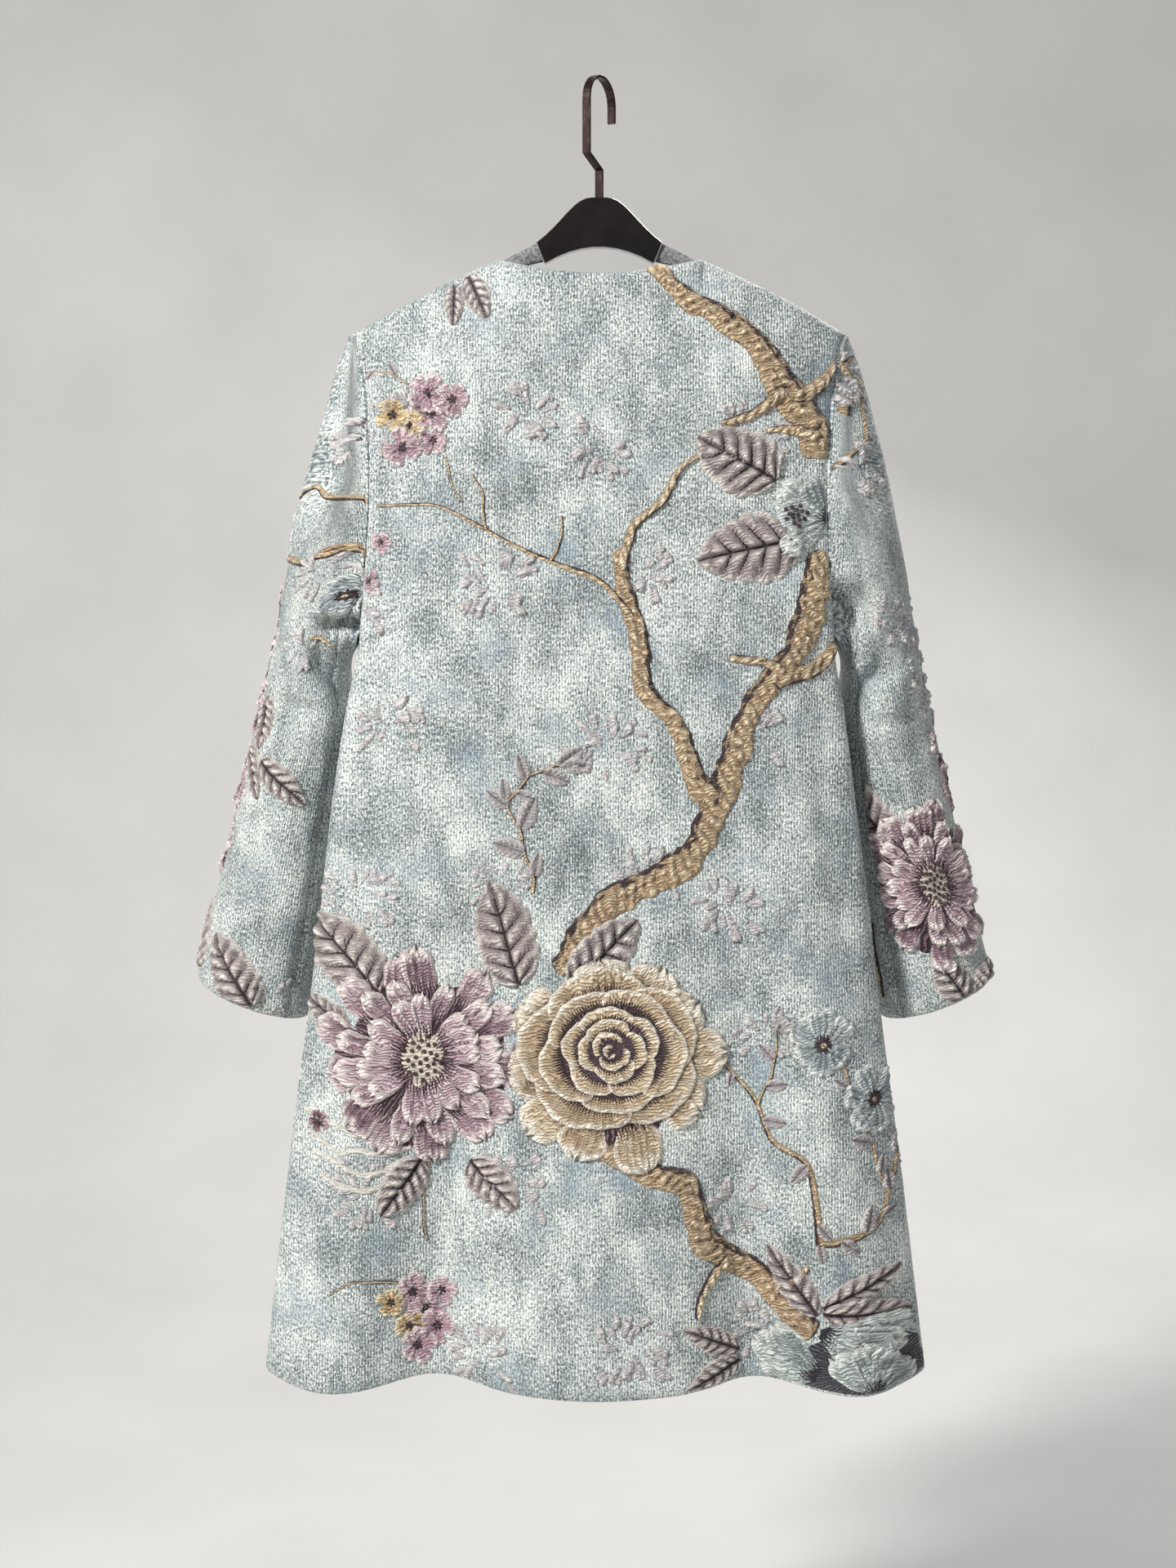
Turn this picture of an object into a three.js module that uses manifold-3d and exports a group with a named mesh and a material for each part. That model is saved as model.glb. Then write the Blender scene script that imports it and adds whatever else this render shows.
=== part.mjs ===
// A collarless, knee-length coat of raised-figure jacquard on a plastic hanger.
//
// Frame, in millimetres: +Z up, +Y the way the wearer faces, +X the wearer's right. The origin is the
// inside top of the hook's bend, where a rail carries the whole thing. The coat's back is its -Y side.
// Every cloth piece is a wall of one thickness: an outer surface worked out from the garment's sizes,
// raised where the weave has its large figures, over a plain inside. Pieces stop short of their seams.
import * as THREE from "three";
import { mergeVertices } from "three/addons/utils/BufferGeometryUtils.js";
import Module from "manifold-3d";

// ---------------------------------------------------------------- driving sizes
const WALL = 2.4; // jacquard with its bonded interlining
const SEAM_GAP = 0.3;
const FRONT_GAP = 3; // the fronts meet edge to edge, with nothing fastened

const NECK = { half: 88, z: -151.5, backDrop: 17, frontDrop: 96, backY: 50, frontY: 47 };
// round is how far below the seam the cloth reaches its full depth, and arch how far the seam rises
// above a straight line.
const SHOULDER = { x: 210.7, z: -213, round: 58, arch: 3 };
// Below the shoulders the coat hangs this far to the wearer's left, at full from the waist down.
const LEAN = { from: 213, to: 650, by: 4 };
const UNDERARM_Z = -478;
const HEM = { z: -1098, sideLift: 2 };

// The armhole seam, from the shoulder point (turn 0) to the underarm (turn 180), behind and in front.
const ARMHOLE = [
  { turn: 0, backX: 210.7, backY: 0, frontX: 210.7, frontY: 0 },
  { turn: 30, backX: 203, backY: -21, frontX: 202, frontY: 18 },
  { turn: 60, backX: 194, backY: -39, frontX: 189, frontY: 34 },
  { turn: 90, backX: 191, backY: -46, frontX: 184, frontY: 41 },
  { turn: 120, backX: 194.5, backY: -45, frontX: 186, frontY: 33 },
  { turn: 150, backX: 200, backY: -37, frontX: 195, frontY: 12 },
  { turn: 180, backX: 203, backY: -18, frontX: 203, frontY: -18 },
];

// The body at its side seams and its centre lines. halfWidth and seamY hold below the underarm. A bend
// of 1 is a gentle curve from centre to edge; a lower one is flatter, with a tighter turn at the edge.
const BODY = [
  { z: -150, halfWidth: 203, seamY: -18, backY: -52, frontY: 48, backBend: 1, frontBend: 1 },
  { z: -213, halfWidth: 203, seamY: -18, backY: -58, frontY: 53, backBend: 1, frontBend: 1 },
  { z: -345, halfWidth: 203, seamY: -18, backY: -62, frontY: 58, backBend: 1, frontBend: 1 },
  { z: -425, halfWidth: 203, seamY: -18, backY: -63, frontY: 60, backBend: 0.85, frontBend: 0.9 },
  { z: -458, halfWidth: 203, seamY: -18, backY: -63, frontY: 60, backBend: 0.55, frontBend: 0.62 },
  { z: -478, halfWidth: 203, seamY: -18, backY: -64, frontY: 61, backBend: 0.3, frontBend: 0.44 },
  { z: -530, halfWidth: 212, seamY: -21, backY: -65, frontY: 62, backBend: 0.34, frontBend: 0.45 },
  { z: -620, halfWidth: 225, seamY: -22, backY: -68, frontY: 66, backBend: 0.4, frontBend: 0.47 },
  { z: -770, halfWidth: 243, seamY: -22, backY: -75, frontY: 72, backBend: 0.46, frontBend: 0.5 },
  { z: -910, halfWidth: 262, seamY: -20, backY: -84, frontY: 80, backBend: 0.5, frontBend: 0.5 },
  { z: -1110, halfWidth: 287, seamY: -17, backY: -95, frontY: 92, backBend: 0.5, frontBend: 0.5 },
];

// Soft flutes that the flare hangs in: place across (-1 to 1), width, push out of the cloth and fall of
// the hem, all at full size at the hem.
const FLUTES = [
  { side: -1, at: -0.83, wide: 0.25, out: 17, fall: 5 },
  { side: -1, at: -0.46, wide: 0.22, out: -24, fall: -9 },
  { side: -1, at: 0.01, wide: 0.34, out: 14, fall: 2 },
  { side: -1, at: 0.47, wide: 0.19, out: -20, fall: -8 },
  { side: -1, at: 0.82, wide: 0.22, out: 17, fall: 7 },
  { side: 1, at: -0.68, wide: 0.22, out: 19, fall: 6 },
  { side: 1, at: -0.36, wide: 0.19, out: -18, fall: -6 },
  { side: 1, at: -0.08, wide: 0.16, out: 12, fall: 4 },
  { side: 1, at: 0.11, wide: 0.15, out: 9, fall: 3 },
  { side: 1, at: 0.4, wide: 0.19, out: -19, fall: -6 },
  { side: 1, at: 0.72, wide: 0.22, out: 21, fall: 7 },
];
const FLUTE_START_Z = -520;

// Sleeve rings, as seen from behind: outer and inner (underarm) points, then the ring's middle in
// depth and half its depth. The first ring lies on the armhole seam.
const SLEEVE = [
  { outX: 210.7, outZ: -213, inX: 203, inZ: -478, midY: -10, halfDepth: 45 },
  { outX: 221, outZ: -236, inX: 205.5, inZ: -481, midY: -5, halfDepth: 49 },
  { outX: 236, outZ: -287, inX: 208, inZ: -485, midY: 2, halfDepth: 53 },
  { outX: 252, outZ: -342, inX: 210, inZ: -491, midY: 10, halfDepth: 56 },
  { outX: 264, outZ: -398, inX: 211, inZ: -501, midY: 19, halfDepth: 57 },
  { outX: 275, outZ: -455, inX: 210, inZ: -518, midY: 27, halfDepth: 56 },
  { outX: 287, outZ: -512, inX: 209, inZ: -548, midY: 31, halfDepth: 55 },
  { outX: 302, outZ: -577, inX: 216, inZ: -606, midY: 34, halfDepth: 54 },
  { outX: 318, outZ: -645, inX: 228, inZ: -676, midY: 38, halfDepth: 53 },
  { outX: 336, outZ: -713, inX: 240, inZ: -746, midY: 43, halfDepth: 51 },
  { outX: 350, outZ: -766, inX: 250, inZ: -801, midY: 47, halfDepth: 49 },
];
const SLEEVE_PITCH = 0.13; // how much the far side of a ring stands above its near side, per mm of depth
const HIND_SEAM = 132; // degrees round the sleeve from its outer line, over the back
const FORE_SEAM = 244;

// The creases where each sleeve bends below the armhole: ring, place round it, sizes in rings and
// degrees, and push out of the cloth.
const SLEEVE_CREASES = [
  { arm: -1, ring: 4.6, turn: 112, long: 0.55, wide: 30, out: -9 },
  { arm: -1, ring: 5.6, turn: 120, long: 0.5, wide: 36, out: 7 },
  { arm: -1, ring: 6.3, turn: 70, long: 0.5, wide: 46, out: -5 },
  { arm: 1, ring: 3.3, turn: 4, long: 1.3, wide: 48, out: -3 },
  { arm: 1, ring: 4.9, turn: 104, long: 0.6, wide: 34, out: -10 },
  { arm: 1, ring: 5.9, turn: 92, long: 0.5, wide: 40, out: 6 },
  { arm: 1, ring: 6.7, turn: 60, long: 0.5, wide: 50, out: -4 },
];

// The raised figures of the weave. Across and down are millimetres on the panel: from its centre line,
// and below the origin. On a sleeve, across is round it from the outer line towards the back.
const BLOOM_LIFT = 5;
const LEAF_LIFT = 3;
const LIMB_LIFT = 3.5;
const BLOOMS = [
  { panel: "back", across: -141, down: 835, radius: 84 },
  { panel: "back", across: 10, down: 842, radius: 82 },
  { panel: "front_left", across: -120, down: 850, radius: 78 },
  { panel: "front_right", across: 130, down: 640, radius: 80 },
  { panel: "sleeve_right", across: 55, down: 700, radius: 66 },
  { panel: "sleeve_left", across: -60, down: 640, radius: 55 },
];
const LEAVES = [
  { panel: "back", across: -204, down: 756, length: 74, width: 46, turn: -55 },
  { panel: "back", across: -78, down: 745, length: 72, width: 44, turn: -60 },
  { panel: "back", across: -6, down: 757, length: 76, width: 36, turn: 12 },
  { panel: "back", across: 128, down: 343, length: 86, width: 50, turn: -32 },
  { panel: "back", across: 118, down: 406, length: 92, width: 48, turn: 14 },
  { panel: "back", across: -170, down: 935, length: 66, width: 34, turn: 48 },
  { panel: "back", across: -110, down: 932, length: 66, width: 34, turn: -48 },
  { panel: "back", across: 222, down: 1035, length: 80, width: 30, turn: -12 },
  { panel: "back", across: 108, down: 1072, length: 70, width: 40, turn: 20 },
  { panel: "front_left", across: -186, down: 770, length: 72, width: 40, turn: -50 },
  { panel: "front_left", across: -60, down: 930, length: 66, width: 36, turn: -35 },
  { panel: "front_right", across: 70, down: 560, length: 72, width: 40, turn: 50 },
  { panel: "front_right", across: 190, down: 735, length: 66, width: 38, turn: 30 },
  { panel: "sleeve_left", across: 22, down: 735, length: 62, width: 34, turn: -60 },
];
// Limbs of the flowering tree, each a run of points with its width there.
const LIMBS = [
  {
    panel: "back", width: [34, 34, 26, 22, 22],
    across: [262, 190, 110, 58, 5],
    down: [1075, 1030, 985, 930, 905],
  },
  {
    panel: "back", width: [24, 26, 26, 24, 24, 26, 24, 22],
    across: [-45, -38, 0, 55, 108, 122, 140, 180],
    down: [740, 655, 610, 595, 555, 500, 460, 405],
  },
  {
    panel: "back", width: [20, 18, 18, 16, 14],
    across: [55, 42, 30, 5, -5],
    down: [590, 540, 480, 440, 420],
  },
  {
    panel: "back", width: [20, 20, 22, 28, 26],
    across: [65, 95, 128, 160, 190],
    down: [168, 205, 245, 275, 312],
  },
  {
    panel: "front_left", width: [16, 22, 24, 26],
    across: [-20, -70, -110, -128],
    down: [470, 560, 640, 760],
  },
  {
    panel: "front_right", width: [28, 26, 20, 14],
    across: [215, 160, 100, 40],
    down: [1060, 960, 880, 820],
  },
];

const HANGER = {
  neckTop: -100, // top of the centre piece
  half: 53, // half the centre piece's width
  thick: 13,
  archTop: -141.5,
  armTip: 176,
  armDrop: 15.5, // height of an arm's section
  armHalf: 2.9, // half an arm's depth at the centre piece
  tipHalf: 6.5, // and at its tip
};
const HOOK = {
  bend: 20, // inside radius over the rail
  wide: 7.4,
  thick: 2.4,
  turn: 60, // degrees the hook's plane stands off the coat's front-to-back line
  legBottom: -66,
  stemTop: -77,
  tipZ: -34,
  socket: 12, // depth of the stem in the centre piece
};

const COLOURS = { jacquard: 0xb4c0bf, gloss: 0x1d1a1b, grip: 0x3f3f42, steel: 0x3a2f2b };

// ---------------------------------------------------------------- small maths
const radians = THREE.MathUtils.degToRad;
const smooth = (x, from, to) => THREE.MathUtils.smoothstep(x, from, to);
const bump = (d) => Math.exp(-d * d * 2);

// A column of a table at x, on a monotone cubic through its rows.
function column(rows, key, name, x) {
  const up = rows[rows.length - 1][key] > rows[0][key];
  const at = (i) => (up ? rows[i][key] : -rows[i][key]);
  const want = THREE.MathUtils.clamp(up ? x : -x, at(0), at(rows.length - 1));
  let i = 0;
  while (i < rows.length - 2 && want > at(i + 1)) i++;
  const slope = (j) => (rows[j + 1][name] - rows[j][name]) / (at(j + 1) - at(j));
  const knot = (j) => {
    if (j === 0) return slope(0);
    if (j === rows.length - 1) return slope(j - 1);
    const [a, b] = [slope(j - 1), slope(j)];
    return a * b <= 0 ? 0 : (2 * a * b) / (a + b);
  };
  const span = at(i + 1) - at(i);
  const t = (want - at(i)) / span;
  return (
    (1 + 2 * t) * (1 - t) ** 2 * rows[i][name] +
    t * (1 - t) ** 2 * span * knot(i) +
    t * t * (3 - 2 * t) * rows[i + 1][name] +
    t * t * (t - 1) * span * knot(i + 1)
  );
}

// ---------------------------------------------------------------- the body's surface
const armMid = (SHOULDER.z + UNDERARM_Z) / 2;
const armHalf = (SHOULDER.z - UNDERARM_Z) / 2;
const armZ = (turn) => armMid + armHalf * Math.cos(radians(turn));
const neckShare = NECK.half / SHOULDER.x;

// The outer edge of the back (side -1) or front (side 1) at a height: armhole seam, then side seam.
function edgeAt(side, z) {
  if (z < UNDERARM_Z) return { x: column(BODY, "z", "halfWidth", z), y: column(BODY, "z", "seamY", z) };
  const turn = THREE.MathUtils.radToDeg(Math.acos(THREE.MathUtils.clamp((z - armMid) / armHalf, -1, 1)));
  const name = side < 0 ? "back" : "front";
  return { x: column(ARMHOLE, "turn", name + "X", turn), y: column(ARMHOLE, "turn", name + "Y", turn) };
}

// The shoulder seam's height at a distance x from the centre.
function shoulderZ(x) {
  const along = (x - NECK.half) / (SHOULDER.x - NECK.half);
  const arch = SHOULDER.arch * Math.sin(Math.PI * THREE.MathUtils.clamp(along, 0, 1));
  return THREE.MathUtils.lerp(NECK.z, SHOULDER.z, along) + arch;
}

// The neckline and shoulder seam, at a share s of the width.
function topAt(side, s) {
  const a = Math.abs(s);
  if (a >= neckShare) return { y: 0, z: shoulderZ(a * SHOULDER.x) };
  const r = a / neckShare;
  const drop = side < 0 ? NECK.backDrop * (1 - r * r) : NECK.frontDrop * (1 - r ** 1.15);
  const depth = side < 0 ? -NECK.backY * Math.sqrt(1 - r * r) : NECK.frontY * Math.sqrt(1 - r ** 2.2);
  return { y: depth, z: NECK.z - drop };
}

// How far the cloth at s stands out at the hem, and how far the hem falls there.
function fluteAt(side, s, name) {
  let sum = 0;
  for (const f of FLUTES) if (f.side === side) sum += f[name] * bump((s - f.at) / f.wide);
  return sum;
}

// A point of the body's outer cloth: s across (-1 to 1), t down (0 at the top edge, 1 at the hem).
function bodyPoint(side, s, t) {
  const top = topAt(side, s);
  const hem = HEM.z + HEM.sideLift * s * s - fluteAt(side, s, "fall") * (1 - s ** 12);
  const edgeZ = SHOULDER.z + t * (HEM.z + HEM.sideLift - SHOULDER.z);
  const edge = edgeAt(side, edgeZ);
  const z = top.z + t * (hem - top.z);
  const centre = column(BODY, "z", side < 0 ? "backY" : "frontY", z);
  const bend = column(BODY, "z", side < 0 ? "backBend" : "frontBend", edgeZ);
  const a = Math.abs(s);
  const round = (1 - a ** (side < 0 ? 3 : 2.4)) ** bend;
  const grown = (1 - s ** 6) * (1 - smooth(z, HEM.z - 60, FLUTE_START_Z));
  const fallen = Math.min((top.z - z) / SHOULDER.round, 1);
  const rise = Math.sqrt(1 - (1 - fallen) ** 2);
  const y = top.y * (1 - rise) + edge.y + (centre - edge.y) * round * rise;
  return new THREE.Vector3(edge.x * s, y + side * fluteAt(side, s, "out") * grown, z);
}

// ---------------------------------------------------------------- the sleeve's surface
function ringPoint(turn, ring) {
  const get = (name) => column(SLEEVE_ROWS, "ring", name, ring);
  const c = Math.cos(radians(turn));
  const s = Math.sin(radians(turn));
  const back = -s * get("halfDepth");
  return new THREE.Vector3(
    (get("outX") + get("inX")) / 2 + ((get("outX") - get("inX")) / 2) * c,
    get("midY") + back,
    (get("outZ") + get("inZ")) / 2 + ((get("outZ") - get("inZ")) / 2) * c +
      back * SLEEVE_PITCH * smooth(ring, 0, 5),
  );
}
const SLEEVE_ROWS = SLEEVE.map((row, ring) => ({ ring, ...row }));
const BLEND_RINGS = 4; // the armhole seam's own shape fades out over these

function armholePoint(turn) {
  const from = turn <= 180 ? turn : 360 - turn;
  const name = turn <= 180 ? "back" : "front";
  return new THREE.Vector3(
    column(ARMHOLE, "turn", name + "X", from),
    column(ARMHOLE, "turn", name + "Y", from),
    armZ(from),
  );
}

// arm is 1 for the wearer's right and -1 for the left; turn runs from the outer line over the back.
function sleevePoint(arm, turn, ring) {
  const round = ((turn % 360) + 360) % 360;
  const p = ringPoint(round, ring);
  const own = 1 - smooth(ring, 0, BLEND_RINGS);
  if (own > 0) p.add(armholePoint(round).sub(ringPoint(round, 0)).multiplyScalar(own));
  for (const c of SLEEVE_CREASES) {
    if (c.arm !== arm) continue;
    const off = ((round - c.turn + 540) % 360) - 180;
    const push = c.out * bump((ring - c.ring) / c.long) * bump(off / c.wide);
    p.x += push * Math.cos(radians(round));
    p.y -= push * Math.sin(radians(round));
  }
  p.x *= arm;
  return p;
}

// ---------------------------------------------------------------- the raised figures
function bloomLift(b, across, down) {
  const [dx, dz] = [across - b.across, down - b.down];
  const petals = 1 + 0.13 * Math.cos(6 * Math.atan2(dz, dx));
  const far = Math.hypot(dx, dz) / (b.radius * petals);
  return far >= 1 ? 0 : BLOOM_LIFT * Math.sqrt(1 - far ** 3) * (0.8 + 0.2 * Math.cos(far * 14));
}

function leafLift(f, across, down) {
  const [c, s] = [Math.cos(radians(f.turn)), Math.sin(radians(f.turn))];
  const [dx, dz] = [across - f.across, f.down - down];
  const along = (dx * c + dz * s) / (f.length / 2);
  const aside = (dz * c - dx * s) / (f.width / 2);
  const edge = Math.abs(aside) / Math.max(1 - along * along, 1e-3);
  if (Math.abs(along) >= 1 || edge >= 1) return 0;
  return LEAF_LIFT * Math.sqrt(1 - edge) * (1 - 0.35 * bump(aside * 4));
}

function limbLift(limb, across, down) {
  let lift = 0;
  for (let i = 1; i < limb.across.length; i++) {
    const a = new THREE.Vector2(limb.across[i - 1], limb.down[i - 1]);
    const run = new THREE.Vector2(limb.across[i], limb.down[i]).sub(a);
    const p = new THREE.Vector2(across, down).sub(a);
    const t = THREE.MathUtils.clamp(p.dot(run) / run.lengthSq(), 0, 1);
    const half = THREE.MathUtils.lerp(limb.width[i - 1], limb.width[i], t) / 2;
    const far = p.addScaledVector(run, -t).length() / half;
    if (far < 1) lift = Math.max(lift, LIMB_LIFT * Math.sqrt(1 - far * far));
  }
  return lift;
}

// How far the cloth is raised at a place on a panel.
function liftAt(panel, across, down) {
  let lift = 0;
  for (const l of LIMBS) if (l.panel === panel) lift = Math.max(lift, limbLift(l, across, down));
  for (const f of LEAVES) if (f.panel === panel) lift = Math.max(lift, leafLift(f, across, down));
  for (const b of BLOOMS) if (b.panel === panel) lift = Math.max(lift, bloomLift(b, across, down));
  return lift;
}

// ---------------------------------------------------------------- walls
// The outward normal of a surface at (u, v), given which way its u and v turn.
function normalOf(surface, u, v, du, dv, sign, range) {
  const u0 = Math.max(u - du, range[0]);
  const u1 = Math.min(u + du, range[1]);
  const v0 = Math.max(v - dv, range[2]);
  const v1 = Math.min(v + dv, range[3]);
  const across = surface(u1, v).sub(surface(u0, v));
  const down = surface(u, v1).sub(surface(u, v0));
  return across.cross(down).normalize().multiplyScalar(sign);
}

// A closed wall: outer points on a grid of us by vs, inner points under the rows of them in innerRows.
// lift raises outer points, inward gives the way to the inner point, shift moves an edge off its seam,
// and keep holds an inner point on its own side of a seam.
function wall({ us, vs, innerRows, point, normal, lift, inward, shift, keep = (p) => p }) {
  const outer = vs.map((v, j) => us.map((u, i) => {
    const rim = i === 0 || j === 0 || i === us.length - 1 || j === vs.length - 1;
    const p = point(u, v).add(shift(u, v, i, j));
    return rim ? p : p.addScaledVector(normal(u, v), lift(p));
  }));
  const inner = innerRows.map((j) => us.map((u, i) => {
    const way = inward(u, vs[j], i, j) || normal(u, vs[j]).negate();
    return keep(point(u, vs[j]).add(shift(u, vs[j], i, j)).addScaledVector(way, WALL));
  }));
  const positions = [];
  const lean = (p) => p.x - LEAN.by * smooth(-p.z, LEAN.from, LEAN.to);
  const put = (rows) => rows.map((row) => row.map((p) => positions.push(lean(p), p.y, p.z) / 3 - 1));
  const [a, b] = [put(outer), put(inner)];
  const faces = [];
  const quad = (p, q, r, s) => faces.push(p, q, r, p, r, s);
  const last = us.length - 1;
  for (const [grid, turned] of [[a, false], [b, true]])
    for (let j = 1; j < grid.length; j++)
      for (let i = 1; i <= last; i++) {
        const corners = [grid[j - 1][i - 1], grid[j][i - 1], grid[j][i], grid[j - 1][i]];
        quad(...(turned ? corners.reverse() : corners));
      }
  for (let i = 1; i <= last; i++) {
    quad(a[0][i - 1], a[0][i], b[0][i], b[0][i - 1]);
    quad(b[b.length - 1][i - 1], b[b.length - 1][i], a[a.length - 1][i], a[a.length - 1][i - 1]);
  }
  for (let k = 1; k < innerRows.length; k++) {
    const [from, to] = [innerRows[k - 1], innerRows[k]];
    for (let j = from + 1; j <= to; j++) {
      faces.push(a[j - 1][0], b[k - 1][0], a[j][0]);
      faces.push(a[j - 1][last], a[j][last], b[k - 1][last]);
    }
    faces.push(a[to][0], b[k - 1][0], b[k][0]);
    faces.push(a[to][last], b[k][last], b[k - 1][last]);
  }
  const geometry = new THREE.BufferGeometry();
  geometry.setAttribute("position", new THREE.Float32BufferAttribute(positions, 3));
  geometry.setIndex(faces);
  return geometry;
}

// Turns a wall round if it was made inside out.
function facingOut(geometry) {
  const p = geometry.getAttribute("position");
  const index = geometry.getIndex();
  const [a, b, c] = [new THREE.Vector3(), new THREE.Vector3(), new THREE.Vector3()];
  let volume = 0;
  for (let i = 0; i < index.count; i += 3) {
    a.fromBufferAttribute(p, index.getX(i));
    b.fromBufferAttribute(p, index.getX(i + 1));
    c.fromBufferAttribute(p, index.getX(i + 2));
    volume += a.dot(b.cross(c));
  }
  if (volume < 0)
    for (let i = 0; i < index.count; i += 3) {
      const kept = index.getX(i + 1);
      index.setX(i + 1, index.getX(i + 2));
      index.setX(i + 2, kept);
    }
  return geometry;
}

const group = new THREE.Group();
function add(name, geometry, color, roughness = 0.9, metalness = 0) {
  const mesh = new THREE.Mesh(geometry, new THREE.MeshStandardMaterial({ color, roughness, metalness }));
  mesh.name = name;
  group.add(mesh);
}

// Steps from a to b, even or drawn towards the end, where the cloth turns most.
const steps = (a, b, n, ease = (x) => x) =>
  Array.from({ length: n + 1 }, (_, i) => a + (b - a) * ease(i / n));
const toEnd = (x) => 0.52 * x + 0.48 * Math.sin((x * Math.PI) / 2);

// ---------------------------------------------------------------- back and fronts
const bodyNormal = (side) => (s, t) =>
  normalOf((u, v) => bodyPoint(side, u, v), s, t, 0.002, 0.002, side, [-1, 1, 0, 1]);
const sleeveNormal = (arm) => (turn, ring) =>
  normalOf((u, v) => sleevePoint(arm, u, v), turn, ring, 0.5, 0.02, arm, [-1e3, 1e3, 0, SLEEVE.length - 1]);

const underarmT = (UNDERARM_Z - SHOULDER.z) / (HEM.z + HEM.sideLift - SHOULDER.z);
// Places down the armhole seam that the body's rows and the sleeve's columns share.
const armTurns = [0, 5, 10, 16, 24, ...steps(36, 180, 9)];
const armTs = armTurns.map((turn) => (armZ(turn) - SHOULDER.z) / (HEM.z + HEM.sideLift - SHOULDER.z));

// Every row of outer points at the start, where walls meet on a curve, then one in three, and the last.
const innerFrom = (vs, fine) =>
  vs.map((v, j) => j).filter((j) => j < fine || j % 3 === 0 || j === vs.length - 1);

// Along the armhole the body's wall and the sleeve's share one way in, so neither crosses the seam.
function seamWay(arm, side, turn) {
  const t = (armZ(turn) - SHOULDER.z) / (HEM.z + HEM.sideLift - SHOULDER.z);
  const body = bodyNormal(side)(arm * 0.998, Math.max(t, 0.004));
  const sleeve = sleeveNormal(arm)(side < 0 ? turn : 360 - turn, 0.03);
  const way = body.add(sleeve);
  if (turn === 0 || turn === 180) way.y = 0;
  return way.normalize().negate();
}

// Columns across a panel, with one exactly on the neck point so that its corner is sharp.
function columns(values) {
  const nearest = (x) => values.reduce((a, b) => (Math.abs(b - x) < Math.abs(a - x) ? b : a));
  for (const x of [neckShare, -neckShare]) {
    const i = values.indexOf(nearest(x));
    if (i > 0 && i < values.length - 1) values[i] = x;
  }
  return values;
}

function bodyPanel(name, side, us, rowsBelow) {
  const vs = [...armTs, ...steps(underarmT, 1, rowsBelow).slice(1)];
  const onEdge = (s) => Math.abs(s) === 1;
  add(name, facingOut(wall({
    us,
    vs,
    innerRows: innerFrom(vs, armTurns.length + 1),
    point: (s, t) => bodyPoint(side, s, t),
    normal: bodyNormal(side),
    lift: (p) => liftAt(name, p.x, -p.z),
    inward(s, t, i, j) {
      if (onEdge(s) && j < armTurns.length) return seamWay(Math.sign(s), side, armTurns[j]);
      if (onEdge(s)) return new THREE.Vector3(-Math.sign(s), 0, -0.08).normalize();
      const shoulder = t === 0 && Math.abs(s) >= neckShare;
      return shoulder ? new THREE.Vector3(-0.44 * Math.sign(s), 0, -0.9).normalize() : null;
    },
    keep(p) {
      const atSide = edgeAt(side, Math.min(p.z, UNDERARM_Z - 0.1)).y;
      const seamY = p.z > SHOULDER.z - 40 ? 0 : atSide;
      if (side < 0) p.y = Math.min(p.y, seamY - SEAM_GAP);
      else p.y = Math.max(p.y, seamY + SEAM_GAP);
      return p;
    },
    // Off the shoulder and side seams, the panel stops half a gap short.
    shift(s, t, i, j) {
      const seam = onEdge(s) || (t === 0 && Math.abs(s) >= neckShare);
      return new THREE.Vector3(onEdge(s) ? -Math.sign(s) * 0.15 : 0, seam ? (side * SEAM_GAP) / 2 : 0, 0);
    },
  })), COLOURS.jacquard);
}

const half = steps(0, 1, 20, toEnd);
bodyPanel("back", -1, columns([...half.slice(1).reverse().map((x) => -x), ...half]), 37);
const frontStart = FRONT_GAP / 2 / SHOULDER.x;
bodyPanel("front_right", 1, columns(steps(frontStart, 1, 13, toEnd)), 27);
bodyPanel("front_left", 1, columns(steps(frontStart, 1, 13, toEnd).map((x) => -x).reverse()), 27);

// ---------------------------------------------------------------- sleeves, each cut in two
function sleevePanel(name, panel, arm, from, to) {
  const rows = steps(0, SLEEVE.length - 1, 24);
  const trim = 0.28; // degrees off each lengthwise seam, about half the gap
  const back = armTurns.slice(1, -1).reverse();
  const round = [...back.map((x) => -x), ...armTurns, ...back.map((x) => 360 - x)];
  const lengthwise = [from + trim, ...round.filter((x) => x > from && x < to), to - trim];
  add(name, facingOut(wall({
    us: lengthwise,
    vs: rows,
    innerRows: innerFrom(rows, 10),
    point: (turn, ring) => sleevePoint(arm, turn, ring),
    normal: sleeveNormal(arm),
    lift: (p) => sleeveLift(panel, arm, p),
    inward(turn, ring) {
      if (ring > 0) return null;
      const round = ((turn % 360) + 360) % 360;
      return seamWay(arm, round <= 180 ? -1 : 1, round <= 180 ? round : 360 - round);
    },
    shift: (turn, ring) => new THREE.Vector3(ring === 0 ? arm * SEAM_GAP : 0, 0, 0),
  })), COLOURS.jacquard);
}

// The figures on a sleeve lie by distance round it, which its depth stands for near the outer line.
function sleeveLift(panel, arm, p) {
  const down = -p.z;
  const ring = SLEEVE_ROWS.reduce((a, b) => (Math.abs(b.outZ + down) < Math.abs(a.outZ + down) ? b : a));
  const middle = (ring.outX + ring.inX) / 2;
  const turn = Math.atan2(ring.midY - p.y, Math.abs(p.x) - middle);
  return liftAt(panel, turn * ring.halfDepth, down);
}

for (const [arm, hand] of [[1, "right"], [-1, "left"]]) {
  sleevePanel("sleeve_top_" + hand, "sleeve_" + hand, arm, FORE_SEAM - 360, HIND_SEAM);
  sleevePanel("sleeve_under_" + hand, "sleeve_" + hand, arm, HIND_SEAM, FORE_SEAM);
}

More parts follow.
